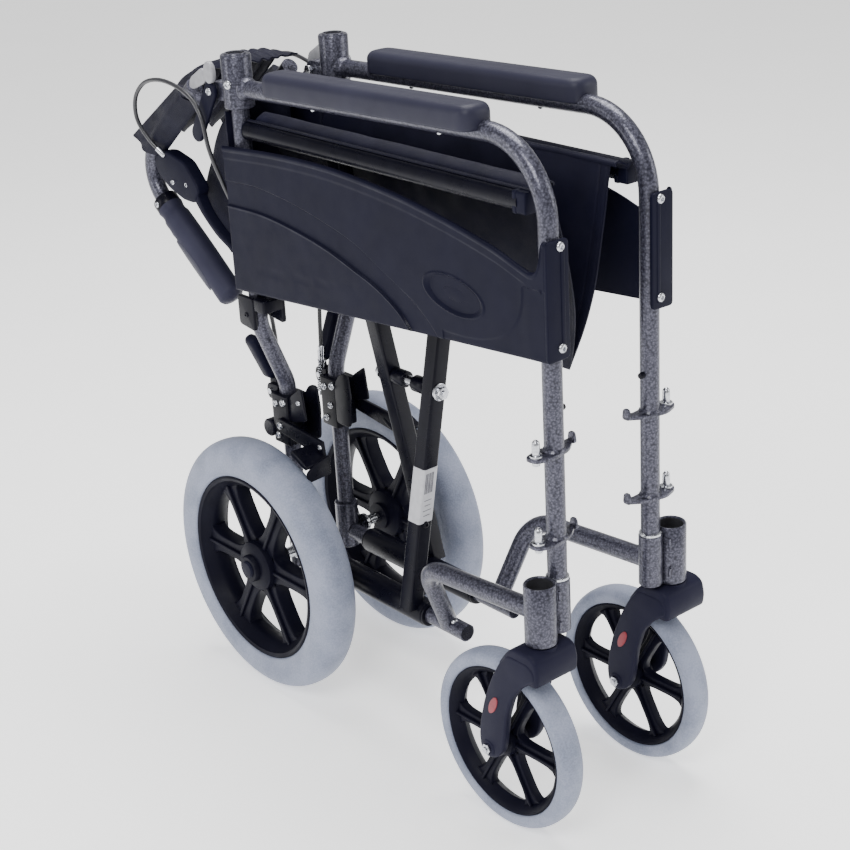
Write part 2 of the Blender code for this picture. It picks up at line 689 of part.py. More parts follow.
def cable(name, side, s, route, origin=None):
    points = smooth_route([row(s * x, y, z) for x, y, z in route])
    curve = bpy.data.curves.new(name, "CURVE")
    curve.dimensions = "3D"
    curve.bevel_depth = CABLE_R
    curve.bevel_resolution = 2
    curve.use_fill_caps = True
    spline = curve.splines.new("POLY")
    spline.points.add(len(points) - 1)
    centre = origin or Vector((0, 0, 0))
    for target, point in zip(spline.points, points):
        target.co = (*(point - centre), 1.0)
    obj = bpy.data.objects.new(f"{name}_{side}", curve)
    curve.materials.append(paint(f"{name}_{side}", BLACK_PAINT))
    obj.location = centre
    bpy.context.collection.objects.link(obj)


def main():
    clear_scene()
    for side, s in SIDES:
        front_tube(side, s)
        stem_housing(side, s)
        lower_rail(side, s)
        rear_upright(side, s)
        side_panel(side, s)
        armrest_pad(side, s)
        seat_saddle(side, s)
        rear_axle(side, s)
        brake_bracket(side, s)
        parking_lever(side, s)
        brake_arm(side, s)
        rear_wheel(side, s)
        castor(side, s)
        seat_rail(side, s)
        seat_half(side, s)
        back_post(side, s)
        push_grip(side, s)
        hand_lever(side, s)
        latch_lever(side, s)
        cable("cable_upper", side, s, CABLE_UPPER, row(s * FRAME_X, *BACK_PIVOT))
        cable("cable_lower", side, s, CABLE_LOWER)
    cross_bar("cross_bar_front", 1, BAR_Y[0])
    cross_bar("cross_bar_rear", -1, BAR_Y[1])
    pivot_shaft()
    back_webs()


main()
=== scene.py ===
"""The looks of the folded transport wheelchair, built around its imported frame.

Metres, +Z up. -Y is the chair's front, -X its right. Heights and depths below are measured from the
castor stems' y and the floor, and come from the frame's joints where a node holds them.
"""

import json
import math

import bmesh
import bpy
from mathutils import Matrix, Vector, noise


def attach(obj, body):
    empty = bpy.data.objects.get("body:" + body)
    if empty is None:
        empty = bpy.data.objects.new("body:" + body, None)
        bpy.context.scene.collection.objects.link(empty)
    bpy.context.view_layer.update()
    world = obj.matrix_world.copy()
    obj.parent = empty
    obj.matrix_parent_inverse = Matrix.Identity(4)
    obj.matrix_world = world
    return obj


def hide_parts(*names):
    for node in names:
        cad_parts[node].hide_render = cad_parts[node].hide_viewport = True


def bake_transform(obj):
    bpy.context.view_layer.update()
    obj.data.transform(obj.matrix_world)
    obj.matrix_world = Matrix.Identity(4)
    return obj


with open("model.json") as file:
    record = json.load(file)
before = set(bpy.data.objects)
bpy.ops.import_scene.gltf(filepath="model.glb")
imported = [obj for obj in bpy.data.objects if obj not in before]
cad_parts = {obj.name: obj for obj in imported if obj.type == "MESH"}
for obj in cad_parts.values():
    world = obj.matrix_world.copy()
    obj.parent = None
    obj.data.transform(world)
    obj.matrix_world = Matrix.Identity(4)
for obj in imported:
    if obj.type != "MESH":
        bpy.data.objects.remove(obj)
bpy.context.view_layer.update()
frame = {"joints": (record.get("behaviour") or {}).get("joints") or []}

SIDES = (("right", -1), ("left", 1))
JOINT = {joint["name"]: Vector(joint["pos_m"]) for joint in frame["joints"] if "pos_m" in joint}
STEM = JOINT["castor_swivel_left"]
FRAME_X = JOINT["back_fold_left"].x
LOWER_X = JOINT["left_rail_pivot"].x
LOWER_Z = JOINT["fold"].z
PIVOT_Z = JOINT["brace_cross"].z
BACK_PIVOT = JOINT["back_fold"]
REAR_AXLE = JOINT["rear_wheel_spin_left"]
CASTOR_AXLE = JOINT["castor_spin_left"]


def row(x, y, z):
    """A point given from the castor stems, in the frame's coordinates."""
    return Vector((x, y + STEM.y, z))


def stem_y(point):
    return point.y - STEM.y


# ---- sizes --------------------------------------------------------------------------------------
TUBE_R = 0.010
GAP = 0.0004
FRONT_Y = 0.003
ARM_Z = 0.737
ARM_DROP = 0.015
ARM_BEND = 0.0775
REAR_Y = 0.488
COLLAR_R = 0.017
COLLAR_Z = (0.700, 0.760)
HOUSING_R = 0.0165
HOUSING_Z = (0.2345, 0.3005)
SOCKET_R = 0.0125
SOCKET_Z = (0.238, 0.296)
HANGER_Z = (0.337, 0.430)
LOWER_TUBE_R = 0.0105
SLEEVE_R = 0.014
PANEL_INNER = 0.0824
PANEL_OUTER = 0.0852
PANEL_LIFT = {"right": 0.0, "left": 0.0155}
PAD_SPAN = (0.084, 0.418)
PAD_X = 0.071
PAD_HALF = 0.0195
PAD_RISE = (0.0010, 0.0265)
RAIL_X = 0.0672
RAIL_Z = 0.6759
RAIL_SPAN = (0.0350, 0.4745)
BAR = 0.020
BAR_Y = (0.262, 0.337)
BAR_SLOPE = math.tan(math.radians(11.3))
BACK_DEG = 130.0
POST_OFFSET = (-0.032, 0.0455)
POST_CORNER = 0.223
HANDLE_DIR = (0.974, -0.227)
HANDLE_LENGTH = 0.217
GRIP_LENGTH = 0.147
GRIP_R = 0.0165
HANDLE_BEND = 0.045
CABLE_R = 0.0025
SMOOTH_SIDES = 32
SOFT_DEG = 60
UP = Vector((0, 0, 1))
FORWARD = Vector((0, -1, 0))


# ---- materials ----------------------------------------------------------------------------------
class Look:
    """A node material under construction."""

    def __init__(self, name, roughness=0.5, metallic=0.0, coat=0.0, specular=0.5):
        self.material = bpy.data.materials.new(name)
        self.material.use_nodes = True
        self.tree = self.material.node_tree
        self.shader = self.tree.nodes["Principled BSDF"]
        settings = {"Metallic": metallic, "Roughness": roughness, "Coat Weight": coat}
        settings["Specular IOR Level"] = specular
        for key, value in settings.items():
            self.shader.inputs[key].default_value = value
        self.place = self.tree.nodes.new("ShaderNodeTexCoord").outputs["Object"]
        self.height = None

    def texture(self, kind, output, inputs, **settings):
        node = self.tree.nodes.new(f"ShaderNodeTex{kind}")
        for key, value in settings.items():
            setattr(node, key, value)
        for key, value in inputs.items():
            node.inputs[key].default_value = value
        self.tree.links.new(self.place, node.inputs["Vector"])
        return node.outputs[output]

    def noise(self, scale, detail=2.0):
        return self.texture("Noise", "Fac", {"Scale": scale, "Detail": detail})

    def cells(self, scale, feature="F1"):
        return self.texture("Voronoi", "Distance", {"Scale": scale}, feature=feature)

    def waves(self, scale, direction):
        return self.texture("Wave", "Fac", {"Scale": scale}, bands_direction=direction)

    def ramp(self, value, *stops):
        node = self.tree.nodes.new("ShaderNodeValToRGB")
        while len(node.color_ramp.elements) < len(stops):
            node.color_ramp.elements.new(0.5)
        for element, (position, colour) in zip(node.color_ramp.elements, stops):
            element.position = position
            element.color = (*colour, 1.0)
        self.tree.links.new(value, node.inputs["Fac"])
        return node.outputs["Color"]

    def grey(self, value, low, high):
        return self.ramp(value, (0.3, (low,) * 3), (0.7, (high,) * 3))

    def maths(self, operation, a, b):
        node = self.tree.nodes.new("ShaderNodeMath")
        node.operation = operation
        for socket, value in zip(node.inputs, (a, b)):
            if isinstance(value, (int, float)):
                socket.default_value = value
            else:
                self.tree.links.new(value, socket)
        return node.outputs["Value"]

    def colour(self, output):
        self.tree.links.new(output, self.shader.inputs["Base Color"])

    def rough(self, output):
        self.tree.links.new(output, self.shader.inputs["Roughness"])

    def bump(self, output, distance, strength):
        node = self.tree.nodes.new("ShaderNodeBump")
        node.inputs["Distance"].default_value = distance
        node.inputs["Strength"].default_value = strength
        self.tree.links.new(output, node.inputs["Height"])
        if self.height is not None:
            self.tree.links.new(self.height, node.inputs["Normal"])
        self.height = node.outputs["Normal"]
        self.tree.links.new(self.height, self.shader.inputs["Normal"])


def hammered_paint():
    """Dark silver paint that dries in small smooth cells with darker veins between them."""
    look = Look("hammered_paint", 0.36, 0.5, 0.2)
    cells = look.cells(460, "SMOOTH_F1")
    speckle = look.noise(1100, 2)
    mixed = look.maths("ADD", look.maths("MULTIPLY", cells, 0.8), look.maths("MULTIPLY", speckle, 0.45))
    stops = (0.25, (0.112, 0.111, 0.150)), (0.58, (0.044, 0.044, 0.066)), (0.80, (0.014, 0.014, 0.025))
    look.colour(look.ramp(mixed, *stops))
    look.rough(look.grey(speckle, 0.28, 0.44))
    look.bump(cells, 0.00040, 0.55)
    return look.material


def surface(name, dark, light, mottle, gloss=None, wear=(60, 3), bumps=(), **settings):
    """A plain material. mottle and wear are the noises behind its colour and its roughness range, gloss.

    Each of bumps is a texture's method, its settings, a height in metres and a strength.
    """
    look = Look(name, **settings)
    look.colour(look.ramp(look.noise(*mottle), (0.3, dark), (0.7, light)))
    if gloss:
        look.rough(look.grey(look.noise(*wear), *gloss))
    for kind, details, height, strength in bumps:
        look.bump(getattr(look, kind)(*details), height, strength)
    return look.material


def grain(scale, height=0.00008, strength=0.5):
    """The fine pitted texture of a mould."""
    return ("cells", (scale,), height, strength)


def tyre_grey():
    """Solid grey polyurethane with a fine moulded texture, painted darker in the pores' sunken centres as shade.
    """
    look = Look("tyre_grey", 0.50, specular=0.26)
    pores = look.cells(560, "SMOOTH_F1")
    wear = look.noise(26, 5)
    # The pores' sunken centres, which the bump below makes, are painted darker: painted shade in the pits, mixed
    # with random mottle.
    pore_shade_and_mottle = look.maths("ADD", look.maths("MULTIPLY", pores, 0.30), look.maths("MULTIPLY", wear, 0.80))
    look.colour(look.ramp(pore_shade_and_mottle, (0.30, (0.150, 0.172, 0.238)), (0.65, (0.262, 0.286, 0.372))))
    look.rough(look.grey(wear, 0.42, 0.60))
    look.bump(pores, 0.00026, 0.55)
    look.bump(look.noise(1500, 2), 0.00006, 0.5)
    return look.material


def sling_cloth():
    """Coated nylon with a plain weave."""
    look = Look("sling_cloth", 0.50, specular=0.12)
    weave = look.maths("MULTIPLY", look.waves(620, "Y"), look.waves(620, "Z"))
    stops = (0.3, (0.0046, 0.0046, 0.0125)), (0.7, (0.0080, 0.0080, 0.0195))
    look.colour(look.ramp(look.noise(28, 5), *stops))
    look.rough(look.grey(look.noise(35, 4), 0.38, 0.58))
    look.bump(weave, 0.00014, 0.5)
    look.bump(look.noise(60, 5), 0.0010, 0.25)
    return look.material


def trim(name, dark, light, roughness):
    """A small plain part."""
    gloss = (roughness * 0.85, min(1.0, roughness * 1.15))
    return surface(name, dark, light, (140, 4), gloss, (260, 3), [("noise", (1800, 2), 0.00003, 0.4)])


PAINT = hammered_paint()
TYRE = tyre_grey()
CLOTH = sling_cloth()
PLASTIC = surface(
    "moulded_plastic", (0.0052, 0.0054, 0.0145), (0.0066, 0.0068, 0.0178), (22, 3), (0.38, 0.50),
    bumps=[grain(1500)], specular=0.07,
)
FORK = surface(
    "fork_plastic", (0.0100, 0.0100, 0.0225), (0.0128, 0.0128, 0.0275), (22, 3), (0.38, 0.50),
    bumps=[grain(1500)], specular=0.07,
)
RIM = surface(
    "rim_plastic", (0.0034, 0.0034, 0.0085), (0.0052, 0.0052, 0.0125), (22, 3), (0.36, 0.50),
    bumps=[grain(1300)], specular=0.07,
)
GLOSS = surface(
    "gloss_plastic", (0.0050, 0.0050, 0.0120), (0.0070, 0.0070, 0.0160), (30, 2), (0.20, 0.30), (90, 3),
    specular=0.22,
)
BLACK = surface(
    "black_paint", (0.0026, 0.0026, 0.0064), (0.0040, 0.0040, 0.0092), (40, 3), (0.24, 0.36),
    specular=0.13,
)
FOAM = surface(
    "pad_foam", (0.0150, 0.0150, 0.0290), (0.0195, 0.0195, 0.0360), (18, 4), (0.38, 0.52), (45, 4),
    bumps=[grain(1100, 0.00009), ("noise", (2400, 2), 0.00004, 0.4)], specular=0.20,
)
RUBBER = surface(
    "grip_rubber", (0.0210, 0.0210, 0.0400), (0.0270, 0.0270, 0.0490), (35, 4),
    bumps=[grain(1300, 0.00009, 0.6)], roughness=0.55, specular=0.16,
)
INSET = surface(
    "grip_inset", (0.045, 0.045, 0.064), (0.060, 0.060, 0.082), (35, 4),
    bumps=[grain(1300, 0.00009, 0.6)], roughness=0.50, specular=0.35,
)
STEEL = surface(
    "bright_steel", (0.42, 0.43, 0.47), (0.66, 0.67, 0.70), (300, 3), (0.14, 0.32), (500, 3),
    metallic=1.0,
)
SHEATH = surface(
    "cable_sheath", (0.012, 0.012, 0.016), (0.020, 0.020, 0.025), (160, 2),
    bumps=[("waves", (420, "DIAGONAL"), 0.00008, 0.4)], roughness=0.35, coat=0.2,
)
# Dark trim that lines bores and tube mouths: painted shade inside the hollows.
TUBE_SHADE = trim("tube_inside_painted_shade", (0.010, 0.010, 0.013), (0.020, 0.020, 0.025), 0.8)
RED = trim("red_plastic", (0.20, 0.014, 0.024), (0.26, 0.022, 0.034), 0.4)
LATCH_GREY = trim("latch_grey", (0.24, 0.24, 0.26), (0.32, 0.32, 0.34), 0.42)
LABEL = trim("label_paper", (0.44, 0.44, 0.47), (0.52, 0.52, 0.55), 0.5)
LABEL_INK = trim("label_ink", (0.10, 0.10, 0.12), (0.16, 0.16, 0.18), 0.6)


# ---- shapes: each is a list of points and a list of faces -----------------------------------------
def rings_to_shape(rings, closed=False):
    """Skin a list of equal rings. closed joins the last ring to the first."""
    points = [point for ring in rings for point in ring]
    size = len(rings[0])
    faces = []
    pairs = list(range(len(rings) - 1))
    for index in pairs + ([len(rings) - 1] if closed else []):
        following = (index + 1) % len(rings)
        here, there = index * size, following * size
        for k in range(size):
            after = (k + 1) % size
            faces.append((here + k, here + after, there + after, there + k))
    if not closed:
        faces.append(tuple(range(size))[::-1])
        last = (len(rings) - 1) * size
        faces.append(tuple(range(last, last + size)))
    return points, faces


def rounded(points, radius, steps=12):
    """The polyline with each inner corner turned into an arc."""
    path = [points[0]]
    for before, corner, after in zip(points, points[1:], points[2:]):
        to_before = (before - corner).normalized()
        to_after = (after - corner).normalized()
        half = to_before.angle(to_after) / 2
        centre = corner + (to_before + to_after).normalized() * radius / math.sin(half)
        reach = radius / math.tan(half)
        start = corner + to_before * reach - centre
        end = corner + to_after * reach - centre
        turn = start.angle(end)
        for step in range(steps + 1):
            t = step / steps
            arm = (start * math.sin((1 - t) * turn) + end * math.sin(t * turn)) / math.sin(turn)
            path.append(centre + arm)
    path.append(points[-1])
    return path


def smooth_route(points, steps=8):
    """A Catmull-Rom curve through the points."""
    full = [points[0] * 2 - points[1], *points, points[-1] * 2 - points[-2]]
    path = []
    for a, b, c, d in zip(full, full[1:], full[2:], full[3:]):
        for step in range(steps):
            t = step / steps
            curve = 2 * b + (c - a) * t + (2 * a - 5 * b + 4 * c - d) * t * t
            path.append((curve + (3 * b - a - 3 * c + d) * t * t * t) / 2)
    path.append(points[-1])
    return path


def sweep(points, section):
    """Carry a closed section, given as (normal, side) offsets, along a path."""
    rings = []
    normal = None
    for index, point in enumerate(points):
        back = points[max(index - 1, 0)]
        ahead = points[min(index + 1, len(points) - 1)]
        tangent = (ahead - back).normalized()
        if normal is None:
            normal = tangent.orthogonal().normalized()
        normal = (normal - tangent * normal.dot(tangent)).normalized()
        side = tangent.cross(normal)
        rings.append([point + normal * a + side * b for a, b in section])
    return rings_to_shape(rings)


def circle(radius, sides=SMOOTH_SIDES):
    turns = [2 * math.pi * k / sides for k in range(sides)]
    return [(radius * math.cos(turn), radius * math.sin(turn)) for turn in turns]


def tube(points, radius, sides=SMOOTH_SIDES):
    return sweep(points, circle(radius, sides))


def rod(start, end, radius, sides=SMOOTH_SIDES):
    return tube([start, end], radius, sides)


def ellipse(centre, half_a, half_b, sides, tilt=0.0):
    """A closed oval outline, its first half axis turned by tilt."""
    first, second = Vector((math.cos(tilt), math.sin(tilt))), Vector((-math.sin(tilt), math.cos(tilt)))
    return [tuple(Vector(centre) + first * a * half_a + second * b * half_b) for a, b in circle(1.0, sides)]


def lathe(profile, centre, axis, sides=64):
    """Turn (radius, height) points about an axis. A profile that starts on the axis ends on it too."""
    turn = axis.to_track_quat("Z", "Y").to_matrix()
    rings = []
    for radius, height in profile:
        ring = [centre + turn @ Vector((a, b, height)) for a, b in circle(max(radius, 0.00002), sides)]
        rings.append(ring)
    return rings_to_shape(rings, closed=profile[0][0] > 0)


def soften(outline, radius, steps=4):
    """Round the corners of a closed (a, b) outline, less where its edges are short."""
    result = []
    count = len(outline)
    for index in range(count):
        corner = Vector(outline[index])
        before = Vector(outline[index - 1]) - corner
        after = Vector(outline[(index + 1) % count]) - corner
        reach = min(radius, before.length * 0.45, after.length * 0.45)
        start = corner + before.normalized() * reach
        end = corner + after.normalized() * reach
        for step in range(steps + 1):
            t = step / steps
            result.append(tuple(start * (1 - t) ** 2 + corner * 2 * t * (1 - t) + end * t * t))
    return result


def inset(outline, distance):
    """Move a closed (a, b) outline inwards."""
    area = sum(p[0] * q[1] - q[0] * p[1] for p, q in zip(outline, outline[1:] + outline[:1]))
    sign = 1 if area > 0 else -1
    result = []
    for index, point in enumerate(outline):
        edge = Vector(outline[(index + 1) % len(outline)]) - Vector(outline[index - 1])
        normal = Vector((-edge.y, edge.x)).normalized() * sign
        result.append(tuple(Vector(point) + normal * distance))
    return result


def slab(outline, low, high, edge, place, steps=3):
    """Push a closed (a, b) outline from low to high with rounded edges. place(a, b, c) gives the point."""
    rings = []
    for base, direction in ((low, 1), (high, -1)):
        turns = []
        for step in range(steps + 1):
            angle = math.pi / 2 * step / steps
            shrunk = inset(outline, edge * (1 - math.sin(angle)))
            turns.append([place(a, b, base + direction * edge * (1 - math.cos(angle))) for a, b in shrunk])
        rings += turns if direction > 0 else turns[::-1]
    return rings_to_shape(rings)


def along_x(outline, x_from, x_to, edge=0.0008):
    """An outline of (y, z) points, pushed along X."""
    low, high = sorted((x_from, x_to))
    return slab(outline, low, high, edge, lambda a, b, c: row(c, a, b))


def along_z(outline, z_from, z_to, edge=0.0008):
    """An outline of (x, y) points, pushed along Z."""
    return slab(outline, z_from, z_to, edge, lambda a, b, c: row(a, b, c))


def along_y(outline, y_from, y_to, edge=0.0008):
    """An outline of (x, z) points, pushed along Y."""
    return slab(outline, y_from, y_to, edge, lambda a, b, c: row(a, c, b))


def rectangle(a0, a1, b0, b1, radius=0.001, steps=3):
    return soften([(a0, b0), (a1, b0), (a1, b1), (a0, b1)], radius, steps)


def arc(centre, radius, start_deg, end_deg, steps=14):
    angles = [math.radians(start_deg + (end_deg - start_deg) * k / steps) for k in range(steps + 1)]
    return [(centre[0] + radius * math.cos(a), centre[1] + radius * math.sin(a)) for a in angles]


def moved(shape, matrix):
    points, faces = shape
    return [matrix @ point for point in points], faces


def screw_head(centre, axis, radius):
    """A low domed head with a socket in it."""
    height = radius * 0.55
    profile = [(0, 0.35), (0.36, 0.35), (0.42, 0.92), (0.62, 1.0), (0.88, 0.72), (1.0, 0.25)]
    profile = [(radius * a, height * b) for a, b in profile] + [(radius, -0.001), (0, -0.001)]
    return lathe(profile[::-1], centre, axis, 20)


def hex_nut(centre, axis, radius, height):
    turn = axis.to_track_quat("Z", "Y").to_matrix()
    outline = soften(circle(radius, 6), radius * 0.12, 2)
    return slab(outline, 0, height, radius * 0.08, lambda a, b, c: centre + turn @ Vector((a, b, c)), 2)


def coil(start, end, radius, wire, turns):
    """A round helical spring between two points."""
    axis = (end - start).normalized()
    normal = axis.orthogonal().normalized()
    side = axis.cross(normal)
    steps = int(turns * 14)
    points = []
    for step in range(steps + 1):
        t = step / steps
        angle = 2 * math.pi * turns * t
        points.append(start.lerp(end, t) + (normal * math.cos(angle) + side * math.sin(angle)) * radius)
    return tube(points, wire, 8)


def cloth(grid, thickness):
    """A closed sheet around a grid of points: a list of equal columns."""
    columns, rows = len(grid), len(grid[0])
    front, back = [], []
    for c in range(columns):
        for r in range(rows):
            across = grid[min(c + 1, columns - 1)][r] - grid[max(c - 1, 0)][r]
            along = grid[c][min(r + 1, rows - 1)] - grid[c][max(r - 1, 0)]
            normal = across.cross(along).normalized() * (thickness / 2)
            front.append(grid[c][r] + normal)
            back.append(grid[c][r] - normal)
    faces = []
    behind = len(front)
    for c in range(columns - 1):
        for r in range(rows - 1):
            corner = c * rows + r
            quad = (corner, corner + 1, corner + rows + 1, corner + rows)
            faces.append(quad)
            faces.append(tuple(index + behind for index in quad[::-1]))
    border = [c * rows for c in range(columns)] + [(columns - 1) * rows + r for r in range(1, rows)]
    border += [c * rows + rows - 1 for c in range(columns - 2, -1, -1)] + list(range(rows - 2, 0, -1))
    for a, b in zip(border, border[1:] + border[:1]):
        faces.append((a, b, b + behind, a + behind))
    return front + back, faces


def ripple(a, b, seed=0.0):
    """Smooth noise from 0 to 1."""
    return 0.5 + 0.5 * noise.noise(Vector((a, b, seed)))


def piece(name, body, parts, replaces=(), sharp_deg=38):
    """One object from (shape, material) pairs. It rides on body unless body is None."""
    bm = bmesh.new()
    materials = list(dict.fromkeys(material for _, material in parts))
    for (points, faces), material in parts:
        made = [bm.verts.new(point) for point in points]
        for face in faces:
            bm.faces.new([made[index] for index in face]).material_index = materials.index(material)
    bmesh.ops.remove_doubles(bm, verts=bm.verts, dist=0.000005)
    bmesh.ops.recalc_face_normals(bm, faces=bm.faces)
    mesh = bpy.data.meshes.new(name)
    bm.to_mesh(mesh)
    bm.free()
    for material in materials:
        mesh.materials.append(material)
    mesh.shade_smooth()
    mesh.set_sharp_from_angle(angle=math.radians(sharp_deg))
    obj = bpy.data.objects.new(name, mesh)
    bpy.context.collection.objects.link(obj)
    if body:
        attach(obj, body)
    if replaces:
        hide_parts(*replaces)
    return obj


# ---- side frames ----------------------------------------------------------------------------------
ARM_END = REAR_Y - COLLAR_R - GAP
ARM_SLOPE = -ARM_DROP / (ARM_END - FRONT_Y)


def arm_point(x, y, rise=0.0):
    """A point over the armrest tube's centre line."""
    return row(x, y, ARM_Z + (y - FRONT_Y) * ARM_SLOPE + rise)


def hanger(s, z):
    """A footrest hanger: a plate around the front tube, with its locating pin and an upturned tail."""
    x = s * FRAME_X
    outline = [(-0.029, 0.004), (-0.014, -0.0075), (0.012, -0.0135), (0.031, -0.0070)]
    outline += [(0.033, 0.0070), (0.012, 0.0125), (-0.016, 0.0085), (-0.029, 0.011)]
    outline = [(x + s * a, FRONT_Y + b) for a, b in outline]
    tail = [(-0.0010, 0.001), (0.0100, 0.001), (0.0085, 0.0130), (0.0010, 0.0130)]
    tail = [(FRONT_Y + a, z + b) for a, b in tail]
    pin = [(0, -0.005), (0.0034, -0.005), (0.0040, -0.003), (0.0040, 0.016)]
    pin += [(0.0036, 0.0195), (0.0018, 0.0215), (0, 0.022)]
    nut = [(0, 0.0045), (0.0068, 0.0045), (0.0066, 0.0062), (0.0045, 0.0068), (0, 0.0068)]
    weld = [(0.0098, 0.0), (0.0120, 0.0), (0.0106, 0.0022), (0.0098, 0.0030)]
    at = row(x + s * 0.024, FRONT_Y, z)
    return [
        (along_z(soften(outline, 0.006), z, z + 0.0045, 0.001), PAINT),
        (along_x(soften(tail, 0.004), x - s * 0.0305, x - s * 0.0270), PAINT),
        (lathe(pin, at, UP, 20), STEEL),
        (lathe(nut, at, UP, 20), STEEL),
        (lathe(weld, row(x, FRONT_Y, z + 0.0045), UP, 28), PAINT),
    ]


def front_tube(side, s):
    x = s * FRAME_X
    corners = [row(x, FRONT_Y, HOUSING_Z[1] - 0.020), arm_point(x, FRONT_Y), arm_point(x, ARM_END + 0.004)]
    parts = [(tube(rounded(corners, ARM_BEND, 16), TUBE_R), PAINT)]
    for z in HANGER_Z:
        parts += hanger(s, z)
    weld_bead = [(0.0098, -0.002), (0.0135, -0.002), (0.0122, 0.003), (0.0098, 0.006)]
    direction = Vector((0, -1, -ARM_SLOPE)).normalized()
    parts.append((lathe(weld_bead, arm_point(x, ARM_END), direction, 28), PAINT))
    knob = [(0, 0.0055), (0.0028, 0.005), (0.0034, 0.003), (0.0034, -0.002), (0, -0.002)]
    parts.append((lathe(knob, row(x - s * 0.0095, FRONT_Y, 0.475), Vector((-s, 0, 0)), 16), BLACK))
    for y in (0.150, 0.352):
        parts.append((screw_head(arm_point(x, y, -TUBE_R), -UP, 0.0032), STEEL))
    piece(f"frame_front_{side}", f"{side}_frame", parts, [f"front_tube_{side}"])


def stem_housing(side, s):
    low, high = HOUSING_Z
    bore = 0.0135
    profile = [(0, high - 0.014), (bore, high - 0.014), (bore, high - 0.0012), (bore + 0.0012, high)]
    profile += [(HOUSING_R - 0.0008, high), (HOUSING_R, high - 0.0012), (HOUSING_R, low + 0.0012)]
    profile += [(HOUSING_R - 0.0012, low), (0.0085, low), (0, low)]
    # skin lines the housing's bore with the dark trim: painted shade inside the bore.
    skin = [(0, high - 0.0136), (bore - 0.0002, high - 0.0136), (bore - 0.0002, high - 0.002)]
    skin += [(bore - 0.0006, high - 0.002), (bore - 0.0006, high - 0.0132), (0, high - 0.0132)]
    centre = row(s * STEM.x, 0, 0)
    parts = [(lathe(profile[::-1], centre, UP, 48), PAINT), (lathe(skin, centre, UP, 48), TUBE_SHADE)]
    low, high = SOCKET_Z
    rim = [(0, low), (SOCKET_R - 0.001, low), (SOCKET_R, low + 0.001), (SOCKET_R, high - 0.001)]
    rim += [(SOCKET_R - 0.001, high), (0.0103, high), (0.0103, high - 0.004), (0, high - 0.004)]
    ring = [(0.0100, 0.0002), (0.0120, 0.0002), (0.0118, 0.0022), (0.0100, 0.0030)]
    ring = [(radius, high + rise) for radius, rise in ring]
    centre = row(s * FRAME_X, FRONT_Y, 0)
    parts += [(lathe(rim, centre, UP, 40), PAINT), (lathe(ring, centre, UP, 40), STEEL)]
    for z, rise in ((0.246, 0.010), (0.290, -0.010)):
        x = s * (STEM.x - 0.0150)
        parts.append((tube([row(x, -0.0120, z), row(x, -0.0127, z + rise)], 0.0016, 10), PAINT))
    piece(f"castor_housing_{side}", f"{side}_frame", parts, [f"stem_housing_{side}"])


def shaded_mouth_disc(centre, axis, radius):
    """A dark disc on a cut tube's capped end: painted shade standing in for its open mouth."""
    inner = radius - 0.0016
    return lathe([(0, 0.0003), (inner, 0.0003), (inner, -0.004), (0, -0.004)][::-1], centre, axis, 28)


def lower_rail(side, s):
    x = s * LOWER_X
    start = row(x, 0.182, LOWER_Z)
    end = row(x, REAR_Y - SLEEVE_R - GAP, LOWER_Z)
    corners = [row(s * 0.080, 0.0180, 0.2565), row(s * 0.080, 0.197, 0.2435), row(x, 0.212, LOWER_Z)]
    parts = [
        (tube([start, end], TUBE_R), PAINT),
        (tube(rounded(corners, 0.040, 14), LOWER_TUBE_R), PAINT),
        # A dark disc on the tube's front end, painted shade for its open mouth.
        (shaded_mouth_disc(start, FORWARD, TUBE_R), GLOSS),
        (rod(row(x, 0.250, LOWER_Z), row(x, 0.436, LOWER_Z), TUBE_R + 0.0002), BLACK),
        (screw_head(row(x + s * 0.003, 0.200, LOWER_Z + TUBE_R - 0.0004), UP, 0.0042), STEEL),
    ]
    for y in (0.2445, 0.4415):
        inner = TUBE_R + 0.0001
        collar = [(inner, -0.0016), (0.0140, -0.0016), (0.0145, 0), (0.0140, 0.0016), (inner, 0.0016)]
        parts.append((lathe(collar, row(x, y, LOWER_Z), -FORWARD, 28), BLACK))
    piece(f"lower_side_tube_{side}", f"{side}_frame", parts, [f"lower_rail_{side}"])


